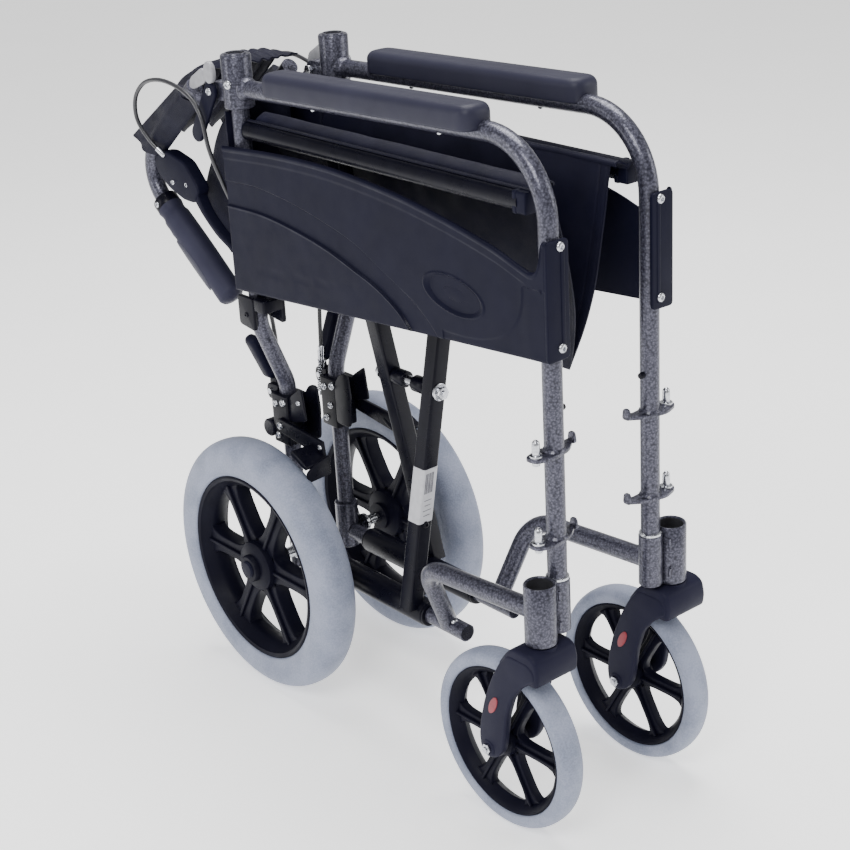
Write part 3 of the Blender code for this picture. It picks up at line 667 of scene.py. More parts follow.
def rear_upright(side, s):
    top, foot = s * FRAME_X, s * LOWER_X
    corners = [
        row(top, REAR_Y, COLLAR_Z[1] - 0.002),
        row(top, REAR_Y, 0.446),
        row(foot, REAR_Y, 0.366),
        row(foot, REAR_Y, 0.130),
    ]
    low, high = COLLAR_Z
    collar = [(0.0095, low), (COLLAR_R - 0.001, low), (COLLAR_R, low + 0.001), (COLLAR_R, high - 0.003)]
    collar += [(COLLAR_R - 0.001, high - 0.0015), (0.0125, high - 0.0015), (0.0120, high)]
    collar += [(0.0102, high), (0.0095, high - 0.004)]
    sleeve = [(0.0095, 0.128), (SLEEVE_R - 0.001, 0.128), (SLEEVE_R, 0.129)]
    sleeve += [(SLEEVE_R, 0.186), (SLEEVE_R - 0.001, 0.187), (0.0095, 0.187)]
    # mouth is a dark cup inside the collar's opening: painted shade in the tube's mouth.
    mouth = [(0, high - 0.010), (0.0082, high - 0.010), (0.0082, high - 0.0006)]
    mouth += [(0.0090, high - 0.0006), (0.0090, high - 0.012), (0, high - 0.012)]
    y, z = stem_y(BACK_PIVOT), BACK_PIVOT.z
    aside = Vector((s, -0.25, 0)).normalized()
    cheek = [(REAR_Y + 0.010, z - 0.010), (y, z - 0.010), *arc((y, z), 0.010, -70, 70)]
    cheek += [(y, z + 0.010), (REAR_Y + 0.010, z + 0.010)]
    parts = [
        (tube(rounded(corners, 0.055, 12), TUBE_R), PAINT),
        (lathe(collar, row(top, REAR_Y, 0), UP, 48), PAINT),
        (lathe(sleeve, row(foot, REAR_Y, 0), UP, 40), PAINT),
        (lathe(mouth, row(top, REAR_Y, 0), UP, 36), TUBE_SHADE),
        (rod(row(top - s * 0.0125, y, z), row(top + s * 0.0125, y, z), 0.0040, 20), STEEL),
        (screw_head(row(top + s * 0.0125, y, z), Vector((s, 0, 0)), 0.0062), STEEL),
        (screw_head(row(top + s * (COLLAR_R - 0.001), REAR_Y - 0.004, 0.7275), aside, 0.0052), STEEL),
        (hex_nut(row(top - s * 0.0125, y, z), Vector((-s, 0, 0)), 0.0062, 0.004), STEEL),
    ]
    for inner in (-0.0102, 0.0062):
        parts.append((along_x(cheek, top + s * inner, top + s * (inner + 0.004), 0.0008), PAINT))
    piece(f"upright_{side}", f"{side}_frame", parts, [f"rear_upright_{side}"])


def rounded_box(half_x, length, low, high, plan_radius, top_radius, base_radius, steps=7):
    """A moulded bar lying along Y, centred at the origin: rounded in plan and more so along its top."""
    outline = rectangle(-half_x, half_x, -length / 2, length / 2, plan_radius * 1.6, 8)
    rings = []
    for step in range(4):
        angle = math.pi / 2 * step / 3
        shrunk = inset(outline, base_radius * (1 - math.sin(angle)))
        rings.append([Vector((a, b, low + base_radius * (1 - math.cos(angle)))) for a, b in shrunk])
    for step in range(steps + 1):
        angle = math.pi / 2 * step / steps
        shrunk = inset(outline, top_radius * (1 - math.cos(angle)))
        rings.append([Vector((a, b, high - top_radius * (1 - math.sin(angle)))) for a, b in shrunk])
    for share in (0.72, 0.4, 0.05):
        crown = high + 0.0006 * (1 - share)
        rings.append([Vector((v.x * share, v.y * (0.985 + 0.015 * share), crown)) for v in rings[-1]])
    return rings_to_shape(rings)


def armrest_pad(side, s):
    start, end = PAD_SPAN
    shape = rounded_box(PAD_HALF, end - start, PAD_RISE[0], PAD_RISE[1] - 0.0006, 0.013, 0.0095, 0.003)
    middle = Matrix.Translation(arm_point(s * PAD_X, (start + end) / 2))
    parts = [(moved(shape, middle @ Matrix.Rotation(math.atan(ARM_SLOPE), 4, "X")), FOAM)]
    pad = piece(f"arm_pad_{side}", f"{side}_frame", parts, [f"armrest_pad_{side}"], SOFT_DEG)


# ---- side panels ----------------------------------------------------------------------------------
# (y, z) lines on the panel, rear to front where z is a function of y
PANEL_TOP = (
    (-0.0110, 0.648), (-0.0062, 0.648), (-0.0042, 0.641), (-0.0020, 0.629), (0.0030, 0.6190), (0.0100, 0.6155),
    (0.0200, 0.6175), (0.0630, 0.6310), (0.1340, 0.6460), (0.2100, 0.6575), (0.3100, 0.6650), (0.4030, 0.6640),
    (0.5070, 0.6570),
)
PANEL_BOTTOM = ((-0.0110, 0.530), (0.155, 0.517), (0.507, 0.489))
CHANNEL_TOP = (
    (0.140, 0.505), (0.154, 0.524), (0.184, 0.546), (0.233, 0.570), (0.277, 0.590), (0.337, 0.605),
    (0.393, 0.615), (0.452, 0.620), (0.510, 0.617),
)
CHANNEL_LOW = (
    (0.180, 0.500), (0.194, 0.518), (0.211, 0.533), (0.243, 0.550), (0.280, 0.562), (0.325, 0.575),
    (0.381, 0.585), (0.439, 0.591), (0.510, 0.590),
)
PANEL_FRONT, PANEL_REAR = -0.0105, 0.506
OVAL = (0.1215, 0.5690)
OVAL_HALF = (0.0425, 0.0185)
OVAL_TILT = math.radians(6.0)


def line_at(line, y):
    """The height of a smooth line at y."""
    if y <= line[0][0]:
        return line[0][1]
    if y >= line[-1][0]:
        return line[-1][1]
    index = next(k for k in range(len(line) - 1) if line[k + 1][0] >= y)
    (y1, z1), (y2, z2) = line[index], line[index + 1]
    y0, z0 = line[max(index - 1, 0)]
    y3, z3 = line[min(index + 2, len(line) - 1)]
    span = y2 - y1
    m1 = (z2 - z0) / max(y2 - y0, 1e-6) * span
    m2 = (z3 - z1) / max(y3 - y1, 1e-6) * span
    t = (y - y1) / span
    height = (2 * t**3 - 3 * t**2 + 1) * z1 + (t**3 - 2 * t**2 + t) * m1
    return height + (3 * t**2 - 2 * t**3) * z2 + (t**3 - t**2) * m2


def step(value, low, high):
    """A smooth rise from 0 at low to 1 at high."""
    t = min(1.0, max(0.0, (value - low) / (high - low)))
    return t * t * (3 - 2 * t)


def bead(value, half):
    """A rounded ridge: 1 at value 0, and 0 beyond half."""
    return max(0.0, 1 - (value / half) ** 2)


def channel_share(y, z):
    """1 in the sunken band between the panel's two curved lines, 0 outside it."""
    above = step(z - line_at(CHANNEL_LOW, y), -0.0008, 0.0008) if y > 0.180 else 1.0
    below = step(line_at(CHANNEL_TOP, y) - z, -0.0012, 0.0012) if y > 0.140 else 0.0
    return above * below


def panel_relief(y, z):
    """How far the moulding stands out from the panel's plain face."""
    top = line_at(PANEL_TOP, y)
    height = 0.0011 * bead(top - z - 0.0028, 0.0034)
    height -= 0.0007 * step(top - z, 0.0125, 0.0150) * step(y, 0.012, 0.030)
    height -= 0.0022 * channel_share(y, z)
    if y > 0.185:
        height += 0.0009 * bead(z - line_at(CHANNEL_LOW, y) + 0.0012, 0.0016)
    a, b = y - OVAL[0], z - OVAL[1]
    u = (a * math.cos(OVAL_TILT) + b * math.sin(OVAL_TILT)) / OVAL_HALF[0]
    v = (b * math.cos(OVAL_TILT) - a * math.sin(OVAL_TILT)) / OVAL_HALF[1]
    oval = math.hypot(u, v)
    height -= 0.0024 * (1 - step(oval, 0.84, 1.0))
    height += 0.0010 * bead(oval - 1.04, 0.055)
    height += 0.0007 * (1 - step(oval, 0.0, 0.7))
    if y < 0.140 and z < 0.600:
        ring = (((0.140 - y) / 0.118) ** 2.6 + ((0.600 - z) / 0.072) ** 2.6) ** (1 / 2.6)
        height -= 0.0009 * step(ring, 0.985, 1.015)
    height -= 0.0006 * bead(z - (0.518 + (0.500 - y) * 0.09), 0.0018) * step(y, 0.30, 0.34)
    rim = min(z - line_at(PANEL_BOTTOM, y), top - z, PANEL_REAR - y, y + 0.0100)
    height -= 0.0016 * (1 - step(rim, 0.0, 0.0022)) ** 2
    return height


def panel_columns():
    """Places along the panel, closest together at its front edge and over the oval."""
    ys = [PANEL_FRONT]
    while ys[-1] < PANEL_REAR - 0.0005:
        y = ys[-1]
        pitch = 0.0007 if y < 0.030 else 0.0010 if y < 0.072 else 0.00065 if y < 0.171 else 0.0016
        ys.append(y + pitch)
    ys[-1] = PANEL_REAR
    return ys


def panel_rows(y):
    """Heights up the panel at y, with a share between each pair of its lines."""
    bottom, top = line_at(PANEL_BOTTOM, y), line_at(PANEL_TOP, y)
    low = min(top - 0.004, max(bottom + 0.0006, line_at(CHANNEL_LOW, y) if y > 0.180 else bottom))
    high = min(top - 0.002, max(low + 0.0006, line_at(CHANNEL_TOP, y) if y > 0.140 else bottom))
    lined = []
    for start, end, count in ((bottom, low, 34), (low, high, 26), (high, top, 62)):
        for index in range(count):
            t = index / count
            lined.append(start + (end - start) * (t - math.sin(2 * math.pi * t) * 0.11))
    share = step(y, 0.165, 0.205)
    even = [bottom + (top - bottom) * index / len(lined) for index in range(len(lined))]
    return [a * (1 - share) + b * share for a, b in zip(even, lined)] + [top]


def side_panel(side, s):
    lift = PANEL_LIFT[side]
    ys = panel_columns()
    heights = [panel_rows(y) for y in ys]
    width = len(heights[0])
    places = [(y, z) for y, zs in zip(ys, heights) for z in zs]
    back = len(places)
    points = [row(s * (PANEL_OUTER + panel_relief(y, z)), y, z + lift) for y, z in places]
    points += [row(s * PANEL_INNER, y, z + lift) for y, z in places]
    sunk = [channel_share(y, z) > 0.9 for y, z in places]
    faces, gloss = [], []
    for c in range(len(ys) - 1):
        for r in range(width - 1):
            corner = c * width + r
            quad = (corner, corner + 1, corner + width + 1, corner + width)
            shiny = 0.19 < ys[c] < 0.43 and sunk[corner] and sunk[corner + 1]
            (gloss if shiny else faces).append(quad)
            faces.append(tuple(index + back for index in quad[::-1]))
    edges = [(c * width + r, (c + 1) * width + r) for c in range(len(ys) - 1) for r in (0, width - 1)]
    edges += [(c * width + r, c * width + r + 1) for r in range(width - 1) for c in (0, len(ys) - 1)]
    faces += [(a, b, b + back, a + back) for a, b in edges]
    parts = [((points, faces), PLASTIC), ((points, gloss), GLOSS)]
    piece(f"guard_panel_{side}", f"{side}_frame", parts, [f"side_panel_{side}"], 50)

    low, high = 0.5305 + lift, 0.6475 + lift
    strip = [(s * 0.0560, low), (s * 0.0850, low - 0.001), (s * 0.0850, high), (s * 0.0560, high)]
    ridge = [(s * 0.0620, low + 0.006), (s * 0.0670, low + 0.006)]
    ridge += [(s * 0.0670, high - 0.006), (s * 0.0620, high - 0.006)]
    parts = [(along_y(soften(strip, 0.005), -0.0118, -0.0078, 0.0010), PLASTIC)]
    parts.append((along_y(soften(ridge, 0.002), -0.0127, -0.0100, 0.0009), PLASTIC))
    for z in (0.5420 + lift, 0.6410 + lift):
        parts.append((screw_head(row(s * FRAME_X, -0.0118, z), FORWARD, 0.0050), STEEL))
    piece(f"panel_flange_{side}", f"{side}_frame", parts)


# ---- wheels ---------------------------------------------------------------------------------------
SPOKES = 6
REAR_RIM, REAR_HALF = 0.1146, 0.024
CASTOR_RIM, CASTOR_HALF = 0.0833, 0.0145


def spokes(origin, inner, outer, width, depth, rib):
    """Six spokes that widen at both ends, each with a rib along its middle."""
    outline = []
    for index in range(11):
        t = index / 10
        outline.append((inner + (outer - inner) * t, width / 2 * (1 + 0.9 * (2 * t - 1) ** 4)))
    outline += [(r, -w) for r, w in outline[::-1]]
    ridge = [(inner, rib), (outer, rib), (outer, -rib), (inner, -rib)]
    parts = []
    for index in range(SPOKES):
        turn = Matrix.Rotation(2 * math.pi * (index + 0.5) / SPOKES, 4, "X")
        for section, half, edge in ((outline, depth / 2, 0.0018), (ridge, depth / 2 + 0.0035, 0.0012)):
            shape = slab(section, -half, half, edge, lambda a, b, c: Vector((c, b, a)))
            parts.append((moved(shape, Matrix.Translation(origin) @ turn), RIM))
    return parts


def tyre_profile(wall, inner, outer, half):
    """The (radius, offset) outline of a solid tyre: a flat-sided wall and a rounded tread."""
    widest = inner + (outer - inner) * 0.42
    power, steps = 2.35, 18
    side = list(wall)
    for index in range(steps + 1):
        angle = math.pi / 2 * index / steps
        reach = math.sin(angle) ** (2 / power)
        offset = math.cos(angle) ** (2 / power) if index < steps else 0.0
        side.append((widest + (outer - widest) * reach, half * offset))
    return side + [(r, -x) for r, x in side[-2::-1]]


def tyre(name, body, node, wall, joint, s, inner, half, sides):
    """A tyre around its wheel's joint. Returns the wheel's centre and axis."""
    centre, axis = Vector((s * joint.x, joint.y, joint.z)), Vector((s, 0, 0))
    shape = lathe(tyre_profile(wall, inner, joint.z, half), centre, axis, sides)
    piece(name, body, [(shape, TYRE)], [node], SOFT_DEG)
    return centre, axis


def rear_wheel(side, s):
    rim_r, half = REAR_RIM, REAR_HALF
    inner = rim_r + GAP
    wall = [(inner, half * 0.88), (inner + 0.0030, half * 0.975), (inner + 0.0046, half * 0.955)]
    wall.append((inner + 0.0060, half * 0.985))
    body = f"rear_wheel_{side}"
    names = f"rear_tyre_{side}", body, f"rear_wheel_tyre_{side}"
    centre, axis = tyre(*names, wall, REAR_AXLE, s, inner, half, 128)

    lip = half * 0.86
    edge = [(0.0150, 0.46), (0.0080, 0.80), (0.0060, 1.0)]
    ring = [(rim_r, -lip), (rim_r, lip), (rim_r - 0.0025, lip + 0.0012)]
    ring += [(rim_r - depth, lip * share) for depth, share in edge[::-1]] + [(rim_r - 0.0170, 0.0)]
    ring += [(rim_r - depth, -lip * share) for depth, share in edge] + [(rim_r - 0.0025, -lip - 0.0012)]
    hub = [(0.0165, 0.0245), (0.0168, 0.0200), (0.0260, 0.0185), (0.0300, 0.0160), (0.0312, 0.0120)]
    hub = [(0, 0.0265), (0.0150, 0.0262), *hub, *[(r, -x) for r, x in hub[::-1]], (0, -0.0255)]
    cap = [(0, 0.0295), (0.0085, 0.0290), (0.0105, 0.0272), (0.0108, 0.0250), (0, 0.0250)]
    parts = [(lathe(ring, centre, axis, 96), RIM), (lathe(hub[::-1], centre, axis, 56), RIM)]
    parts.append((lathe(cap[::-1], centre, axis, 40), PLASTIC))
    parts += spokes(centre, 0.026, rim_r - 0.013, 0.0225, 0.0190, 0.0022)
    piece(f"rear_rim_{side}", body, parts, [f"rear_wheel_rim_{side}"])

    x = LOWER_X + SLEEVE_R
    shaft = [(0, x), (0.0110, x), (0.0110, x + 0.004), (0.0075, x + 0.006), (0.0065, x + 0.010)]
    shaft += [(0.0065, 0.072), (0, 0.072)]
    parts = [(lathe(shaft, row(0, REAR_Y - 0.0135, REAR_AXLE.z), axis, 28), STEEL)]
    piece(f"axle_bolt_{side}", f"{side}_frame", parts, [f"rear_axle_{side}"])


def castor_wheel(side, s):
    rim_r, half = CASTOR_RIM, CASTOR_HALF
    inner = rim_r + GAP
    wall = [(inner, half * 0.86), (inner + 0.0015, half * 0.96)]
    body = f"castor_wheel_{side}"
    names = f"front_tyre_{side}", body, f"castor_tyre_{side}"
    centre, axis = tyre(*names, wall, CASTOR_AXLE, s, inner, half, 112)

    lip = half * 0.80
    edge = [(0.0075, 0.62), (0.0045, 0.9)]
    ring = [(rim_r, -lip), (rim_r, lip), (rim_r - 0.0020, lip + 0.0006)]
    ring += [(rim_r - depth, lip * share) for depth, share in edge[::-1]] + [(rim_r - 0.0115, 0.0)]
    ring += [(rim_r - depth, -lip * share) for depth, share in edge] + [(rim_r - 0.0020, -lip - 0.0006)]
    hub = [(0, 0.0150), (0.0110, 0.0150), (0.0125, 0.0140), (0.0160, 0.0120), (0.0172, 0.0090)]
    hub += [(r, -x) for r, x in hub[::-1]]
    parts = [(lathe(ring, centre, axis, 88), RIM), (lathe(hub[::-1], centre, axis, 44), RIM)]
    parts += spokes(centre, 0.014, rim_r - 0.009, 0.0140, 0.0105, 0.0016)
    piece(f"front_rim_{side}", body, parts, [f"castor_rim_{side}"])


FORK_LEG = (
    (-0.0200, 0.2080), (-0.0080, 0.1990), (0.0040, 0.1895), (0.0150, 0.1740), (0.0235, 0.1500), (0.0275, 0.1250),
    (0.0310, 0.1060), (0.0400, 0.0930), (0.0530, 0.0880), (0.0650, 0.0950), (0.0672, 0.1110), (0.0645, 0.1290),
    (0.0575, 0.1560), (0.0450, 0.1868), (0.0330, 0.2085), (0.0200, 0.2240), (-0.0100, 0.2240), (-0.0190, 0.2180),
)
FORK_HOOD = (
    (-0.0215, 0.1990), (-0.0060, 0.1990), (0.0090, 0.2035), (0.0330, 0.2040), (0.0345, 0.2090), (0.0240, 0.2240),
    (0.0130, 0.2338), (-0.0120, 0.2338), (-0.0205, 0.2290), (-0.0240, 0.2150),
)
FORK_HALF = 0.0300


def castor_fork(side, s):
    """A one-piece moulded fork: a hood under the stem housing and a leg on each side of the wheel."""
    x = s * STEM.x
    y, z = stem_y(CASTOR_AXLE), CASTOR_AXLE.z
    top = HOUSING_Z[0] - 0.001
    leg = soften(FORK_LEG, 0.006, 3)
    hood = soften(FORK_HOOD, 0.006, 3)
    collar = [(0, top - 0.012), (0.0190, top - 0.012), (0.0176, top - 0.003), (0.0160, top), (0, top)]
    parts = [
        (along_x(hood, x - 0.0290, x + 0.0290, 0.0040), FORK),
        (along_x(leg, x - FORK_HALF, x - 0.0205, 0.0026), FORK),
        (along_x(leg, x + 0.0205, x + FORK_HALF, 0.0026), FORK),
        (lathe(collar, row(x, 0, 0), UP, 40), FORK),
        (rod(row(x, 0, top - 0.003), row(x, 0, 0.2845), 0.0080), STEEL),
    ]
    oval = ellipse((0.0425, 0.1560), 0.0120, 0.0048, 28, math.radians(117))
    boss = [(0, 0.0012), (0.0085, 0.0010), (0.0095, 0.0002), (0.0095, -0.002), (0, -0.002)]
    for t in (-1, 1):
        face = x + t * FORK_HALF
        depths = sorted((face - t * 0.0010, face + t * 0.0012))
        parts.append((along_x(oval, *depths), RED))
        parts.append((lathe(boss[::-1], row(face, y, z), Vector((t, 0, 0)), 32), FORK))
    piece(f"fork_{side}", f"castor_fork_{side}", parts, [f"castor_fork_{side}"])
    parts = [(rod(row(x - FORK_HALF, y, z), row(x + FORK_HALF, y, z), 0.0040, 20), STEEL)]
    for t in (-1, 1):
        parts.append((hex_nut(row(x + t * 0.0312, y, z), Vector((t, 0, 0)), 0.0062, 0.0030), STEEL))
        parts.append((rod(row(x + t * 0.0345, y, z), row(x + t * 0.0362, y, z), 0.0032, 16), STEEL))
    piece(f"castor_bolt_{side}", f"castor_fork_{side}", parts, [f"castor_axle_{side}"])


# ---- scissor brace --------------------------------------------------------------------------------
def cross_bar(name, body, lean, y):
    foot_x = -lean * LOWER_X
    half = BAR / 2
    low, high = LOWER_Z + 0.008, RAIL_Z - 0.006
    outline = rectangle(-half, half, -half, half, 0.003, 4)
    rings = []
    for z in (low, high):
        x = lean * (z - PIVOT_Z) * BAR_SLOPE
        rings.append([row(x + a, y + b, z) for a, b in outline])
    parts = [(rings_to_shape(rings), BLACK)]
    sleeve = [(0.0112, -0.097), (0.0144, -0.097), (0.0150, -0.0955)]
    sleeve += [(radius, -height) for radius, height in sleeve[::-1]]
    parts.append((lathe(sleeve, row(foot_x, 0.343, LOWER_Z), -FORWARD, 36), BLACK))
    outer = y - half if y < 0.3 else y + half
    out = Vector((0, -1 if y < 0.3 else 1, 0))
    for z in (PIVOT_Z + 0.115, PIVOT_Z - 0.150):
        x = lean * (z - PIVOT_Z) * BAR_SLOPE
        parts.append((screw_head(row(x, outer, z), out, 0.0040), BLACK))
    piece(f"scissor_bar_{name}", body, parts, [f"cross_bar_{name}"])


def pivot_hardware():
    """The brace's pivot bolt, with its spacer tube between the bars."""
    front = BAR_Y[0] - BAR / 2
    rear = BAR_Y[1] + BAR / 2
    gap = BAR_Y[1] - BAR_Y[0] - BAR - 2 * GAP
    start = row(0, BAR_Y[1] - BAR / 2 - GAP, PIVOT_Z)
    sleeve = [(0, 0), (0.0088, 0), (0.0095, 0.001), (0.0095, 0.019), (0.0088, 0.020), (0, 0.020)]
    washer = [(0, 0), (0.0100, 0), (0.0100, 0.0014), (0.0094, 0.0018), (0, 0.0018)]
    parts = [
        (rod(start, start + FORWARD * gap, 0.0060), STEEL),
        (lathe(sleeve, start, FORWARD, 32), BLACK),
        (lathe(sleeve, start + FORWARD * (gap - 0.020), FORWARD, 32), BLACK),
        (lathe(washer, row(0, front, PIVOT_Z), FORWARD, 28), STEEL),
        (hex_nut(row(0, front - 0.0018, PIVOT_Z), FORWARD, 0.0078, 0.0062), STEEL),
        (rod(row(0, front - 0.008, PIVOT_Z), row(0, front - 0.0105, PIVOT_Z), 0.0040, 16), STEEL),
        (lathe(washer, row(0, rear, PIVOT_Z), -FORWARD, 28), STEEL),
        (hex_nut(row(0, rear + 0.0018, PIVOT_Z), -FORWARD, 0.0078, 0.0062), STEEL),
    ]
    piece("brace_pivot_bolt", "brace_front", parts, ["pivot_shaft"])


def bar_label():
    """A plain white sticker wrapped around the front bar, with grey stripes that mean nothing."""
    low, high = 0.259, 0.321
    skin = BAR / 2 + 0.00025
    outline = rectangle(-skin, skin, -skin, skin, 0.003, 4)
    rings = [[row((z - PIVOT_Z) * BAR_SLOPE + a, BAR_Y[0] + b, z) for a, b in outline] for z in (low, high)]
    parts = [(rings_to_shape(rings), LABEL)]
    front = BAR_Y[0] - skin
    offsets = (-0.0066, -0.0045, -0.0024, -0.0006, 0.0014, 0.0034)
    halves = (0.0006, 0.0009, 0.0004, 0.0008, 0.0005, 0.0009)
    for offset, half in zip(offsets, halves):
        stripe = []
        for side, z in ((-1, low + 0.034), (1, low + 0.034), (1, high - 0.005), (-1, high - 0.005)):
            stripe.append(((z - PIVOT_Z) * BAR_SLOPE + offset + side * half, z))
        parts.append((along_y(stripe, front - 0.0002, front + 0.0002, 0.00004), LABEL_INK))
    for index, reach in enumerate((0.0052, 0.0064, 0.0046, 0.0058)):
        z = low + 0.008 + 0.0058 * index
        x = (z - PIVOT_Z) * BAR_SLOPE
        left, right, top = x - reach, x + reach * 0.8, z + 0.0009
        stripe = [(left, z), (right, z), (right, top), (left, top)]
        parts.append((along_y(stripe, front - 0.0002, front + 0.0002, 0.00004), LABEL_INK))
    piece("bar_sticker", "brace_front", parts)


def seat_rail(side, s):
    body = "brace_front" if s > 0 else "brace_rear"
    x = s * RAIL_X
    start, end = RAIL_SPAN
    guide = rectangle(x - 0.0088, x + 0.0088, RAIL_Z - 0.0108, RAIL_Z + 0.0108, 0.003, 3)
    lip = rectangle(x - 0.0094, x + 0.0094, RAIL_Z - 0.0114, RAIL_Z + 0.0114, 0.003, 3)
    plug = [(0, 0), (TUBE_R + 0.0004, 0), (TUBE_R + 0.0004, 0.0015), (TUBE_R - 0.002, 0.003), (0, 0.003)]
    parts = [
        (tube([row(x, start, RAIL_Z), row(x, end, RAIL_Z)], TUBE_R), BLACK),
        (along_y(guide, start - 0.0110, start + 0.006, 0.0014), PLASTIC),
        (along_y(lip, start + 0.001, start + 0.006, 0.0010), PLASTIC),
        (lathe(plug, row(x, end - 0.001, RAIL_Z), -FORWARD, 28), PLASTIC),
    ]
    for y in (0.055, 0.093, 0.24, 0.40):
        inward = Vector((-s, 0, 0.18)).normalized()
        parts.append((screw_head(row(x, y, RAIL_Z) + inward * (TUBE_R + 0.0022), inward, 0.0042), STEEL))
    piece(f"seat_tube_{side}", body, parts, [f"seat_rail_{side}"])


# ---- backrest -------------------------------------------------------------------------------------
def lowered(y, z):
    """A point of the upright backrest, given from its pivot, where the folded backrest holds it."""
    angle = math.radians(-BACK_DEG)
    turned_y = y * math.cos(angle) - z * math.sin(angle)
    turned_z = y * math.sin(angle) + z * math.cos(angle)
    return stem_y(BACK_PIVOT) + turned_y, BACK_PIVOT.z + turned_z


def on_handle(along, up):
    """A point beside the push handle: distance from its corner, and offset towards its upper side."""
    corner = Vector((POST_OFFSET[0], POST_CORNER))
    direction = Vector(HANDLE_DIR)
    normal = Vector((-direction.y, direction.x))
    point = corner + direction * along + normal * up
    return lowered(point.x, point.y)


def back_post(side, s):
    x = s * FRAME_X
    offset_y, bottom = POST_OFFSET
    corner = Vector((offset_y, POST_CORNER))
    end = corner + Vector(HANDLE_DIR) * (HANDLE_LENGTH - 0.006)
    corners = [row(x, *lowered(offset_y, bottom)), row(x, *lowered(*corner)), row(x, *lowered(*end))]
    tongue = [*arc((0, 0), 0.0100, 180, 360), (0.0100, 0.059), (offset_y, 0.059)]
    tongue += [(offset_y, bottom), (-0.0100, bottom)]
    clamp_axis = (row(0, *on_handle(1, 0)) - row(0, *on_handle(0, 0))).normalized()
    clamp = [(0.0102, -0.0065), (0.0148, -0.0065), (0.0155, -0.0050)]
    clamp += [(radius, -height) for radius, height in clamp[::-1]]
    housing = [(0.668, 0.613), (0.655, 0.625), (0.637, 0.628), (0.603, 0.620), (0.576, 0.592)]
    housing += [(0.588, 0.5735), (0.612, 0.5740), (0.640, 0.583), (0.662, 0.597)]
    parts = [
        (tube(rounded(corners, HANDLE_BEND, 14), TUBE_R), PAINT),
        (along_x([lowered(*p) for p in tongue], x - 0.0055, x + 0.0055, 0.0010), PAINT),
        (lathe(clamp, row(x, *on_handle(0.063, 0)), clamp_axis, 32), BLACK),
        (along_x(soften(housing, 0.007), x - 0.0085, x + 0.0085, 0.0028), PLASTIC),
        (screw_head(row(x + s * 0.0085, 0.630, 0.592), Vector((s, 0, 0)), 0.0034), STEEL),
        (screw_head(row(x + s * 0.0150, *on_handle(0.063, -0.002)), Vector((s, 0, 0)), 0.0036), STEEL),
    ]
    piece(f"back_tube_{side}", f"back_post_{side}", parts, [f"back_post_{side}"])


def push_grip(side, s):
    x = s * FRAME_X
    start = row(x, *on_handle(HANDLE_LENGTH - GRIP_LENGTH, 0))
    end = row(x, *on_handle(HANDLE_LENGTH, 0))
    axis = (end - start).normalized()
    across = Vector((1, 0, 0))
    up = axis.cross(across)
    rings = []
    stations = 46
    for index in range(stations + 1):
        t = index / stations
        place = start.lerp(end, t)
        swell = 1 + 0.05 * math.sin(math.pi * min(1, t * 1.15)) - 0.10 * bead(t - 0.06, 0.05)
        finger = -0.0011 * math.sin(t * math.pi * 9) ** 2 * step(t, 0.12, 0.2) * (1 - step(t, 0.80, 0.9))
        close = math.sqrt(max(0.0, 1 - max(0.0, (t - 0.955) / 0.045) ** 2)) * 0.75 + 0.25
        ring = []
        for a, b in circle(GRIP_R - 0.0006, 40):
            under = max(0.0, -b / GRIP_R)
            reach = (1 + finger / GRIP_R * under) * swell * close
            ring.append(place + across * a * reach + up * b * reach)
        rings.append(ring)
    parts = [(rings_to_shape(rings), RUBBER)]
    for t in (-1, 1):
        turn = math.radians(32)
        face = across * t * math.cos(turn) - up * math.sin(turn)
        side_on = axis.cross(face)
        rings = []
        for share, rise in ((1.0, -0.0012), (0.96, 0.0004), (0.80, 0.0010), (0.4, 0.0013), (0.02, 0.0014)):
            ring = []
            for k in range(36):
                along = 0.040 * share * math.cos(2 * math.pi * k / 36)
                tall = 0.0092 * share * math.sin(2 * math.pi * k / 36)
                out = math.sqrt(max(0.0, (GRIP_R * 1.045) ** 2 - tall**2)) + rise
                ring.append(start.lerp(end, 0.56) + axis * along + side_on * tall + face * out)
            rings.append(ring)
        parts.append((rings_to_shape(rings), INSET))
    piece(f"handle_grip_{side}", f"back_post_{side}", parts, [f"push_grip_{side}"], 55)


LEVER_TOP = (
    (0.088, -0.0690), (0.105, -0.0690), (0.130, -0.0600), (0.160, -0.0590), (0.182, -0.0630), (0.1935, -0.0640),
)
LEVER_LOW = (
    (0.1930, -0.0570), (0.182, -0.0560), (0.160, -0.0520), (0.130, -0.0525), (0.108, -0.0560), (0.088, -0.0550),
)


def hand_lever(side, s):
    """The brake lever under the grip, on a pin in the clamp's housing."""
    x = s * FRAME_X
    pivot_y, pivot_z = on_handle(0.089, -0.062)
    blade = []
    for edge in (LEVER_TOP, LEVER_LOW):
        blade += [tuple(p) for p in smooth_route([Vector(on_handle(*p)) for p in edge], 4)]
    parts = [
        (along_x(blade, x - 0.0070, x + 0.0070, 0.0020), PLASTIC),
        (screw_head(row(x + s * 0.0070, pivot_y, pivot_z), Vector((s, 0, 0)), 0.0034), STEEL),
    ]
    piece(f"brake_lever_{side}", f"hand_lever_{side}", parts, [f"hand_lever_{side}"])


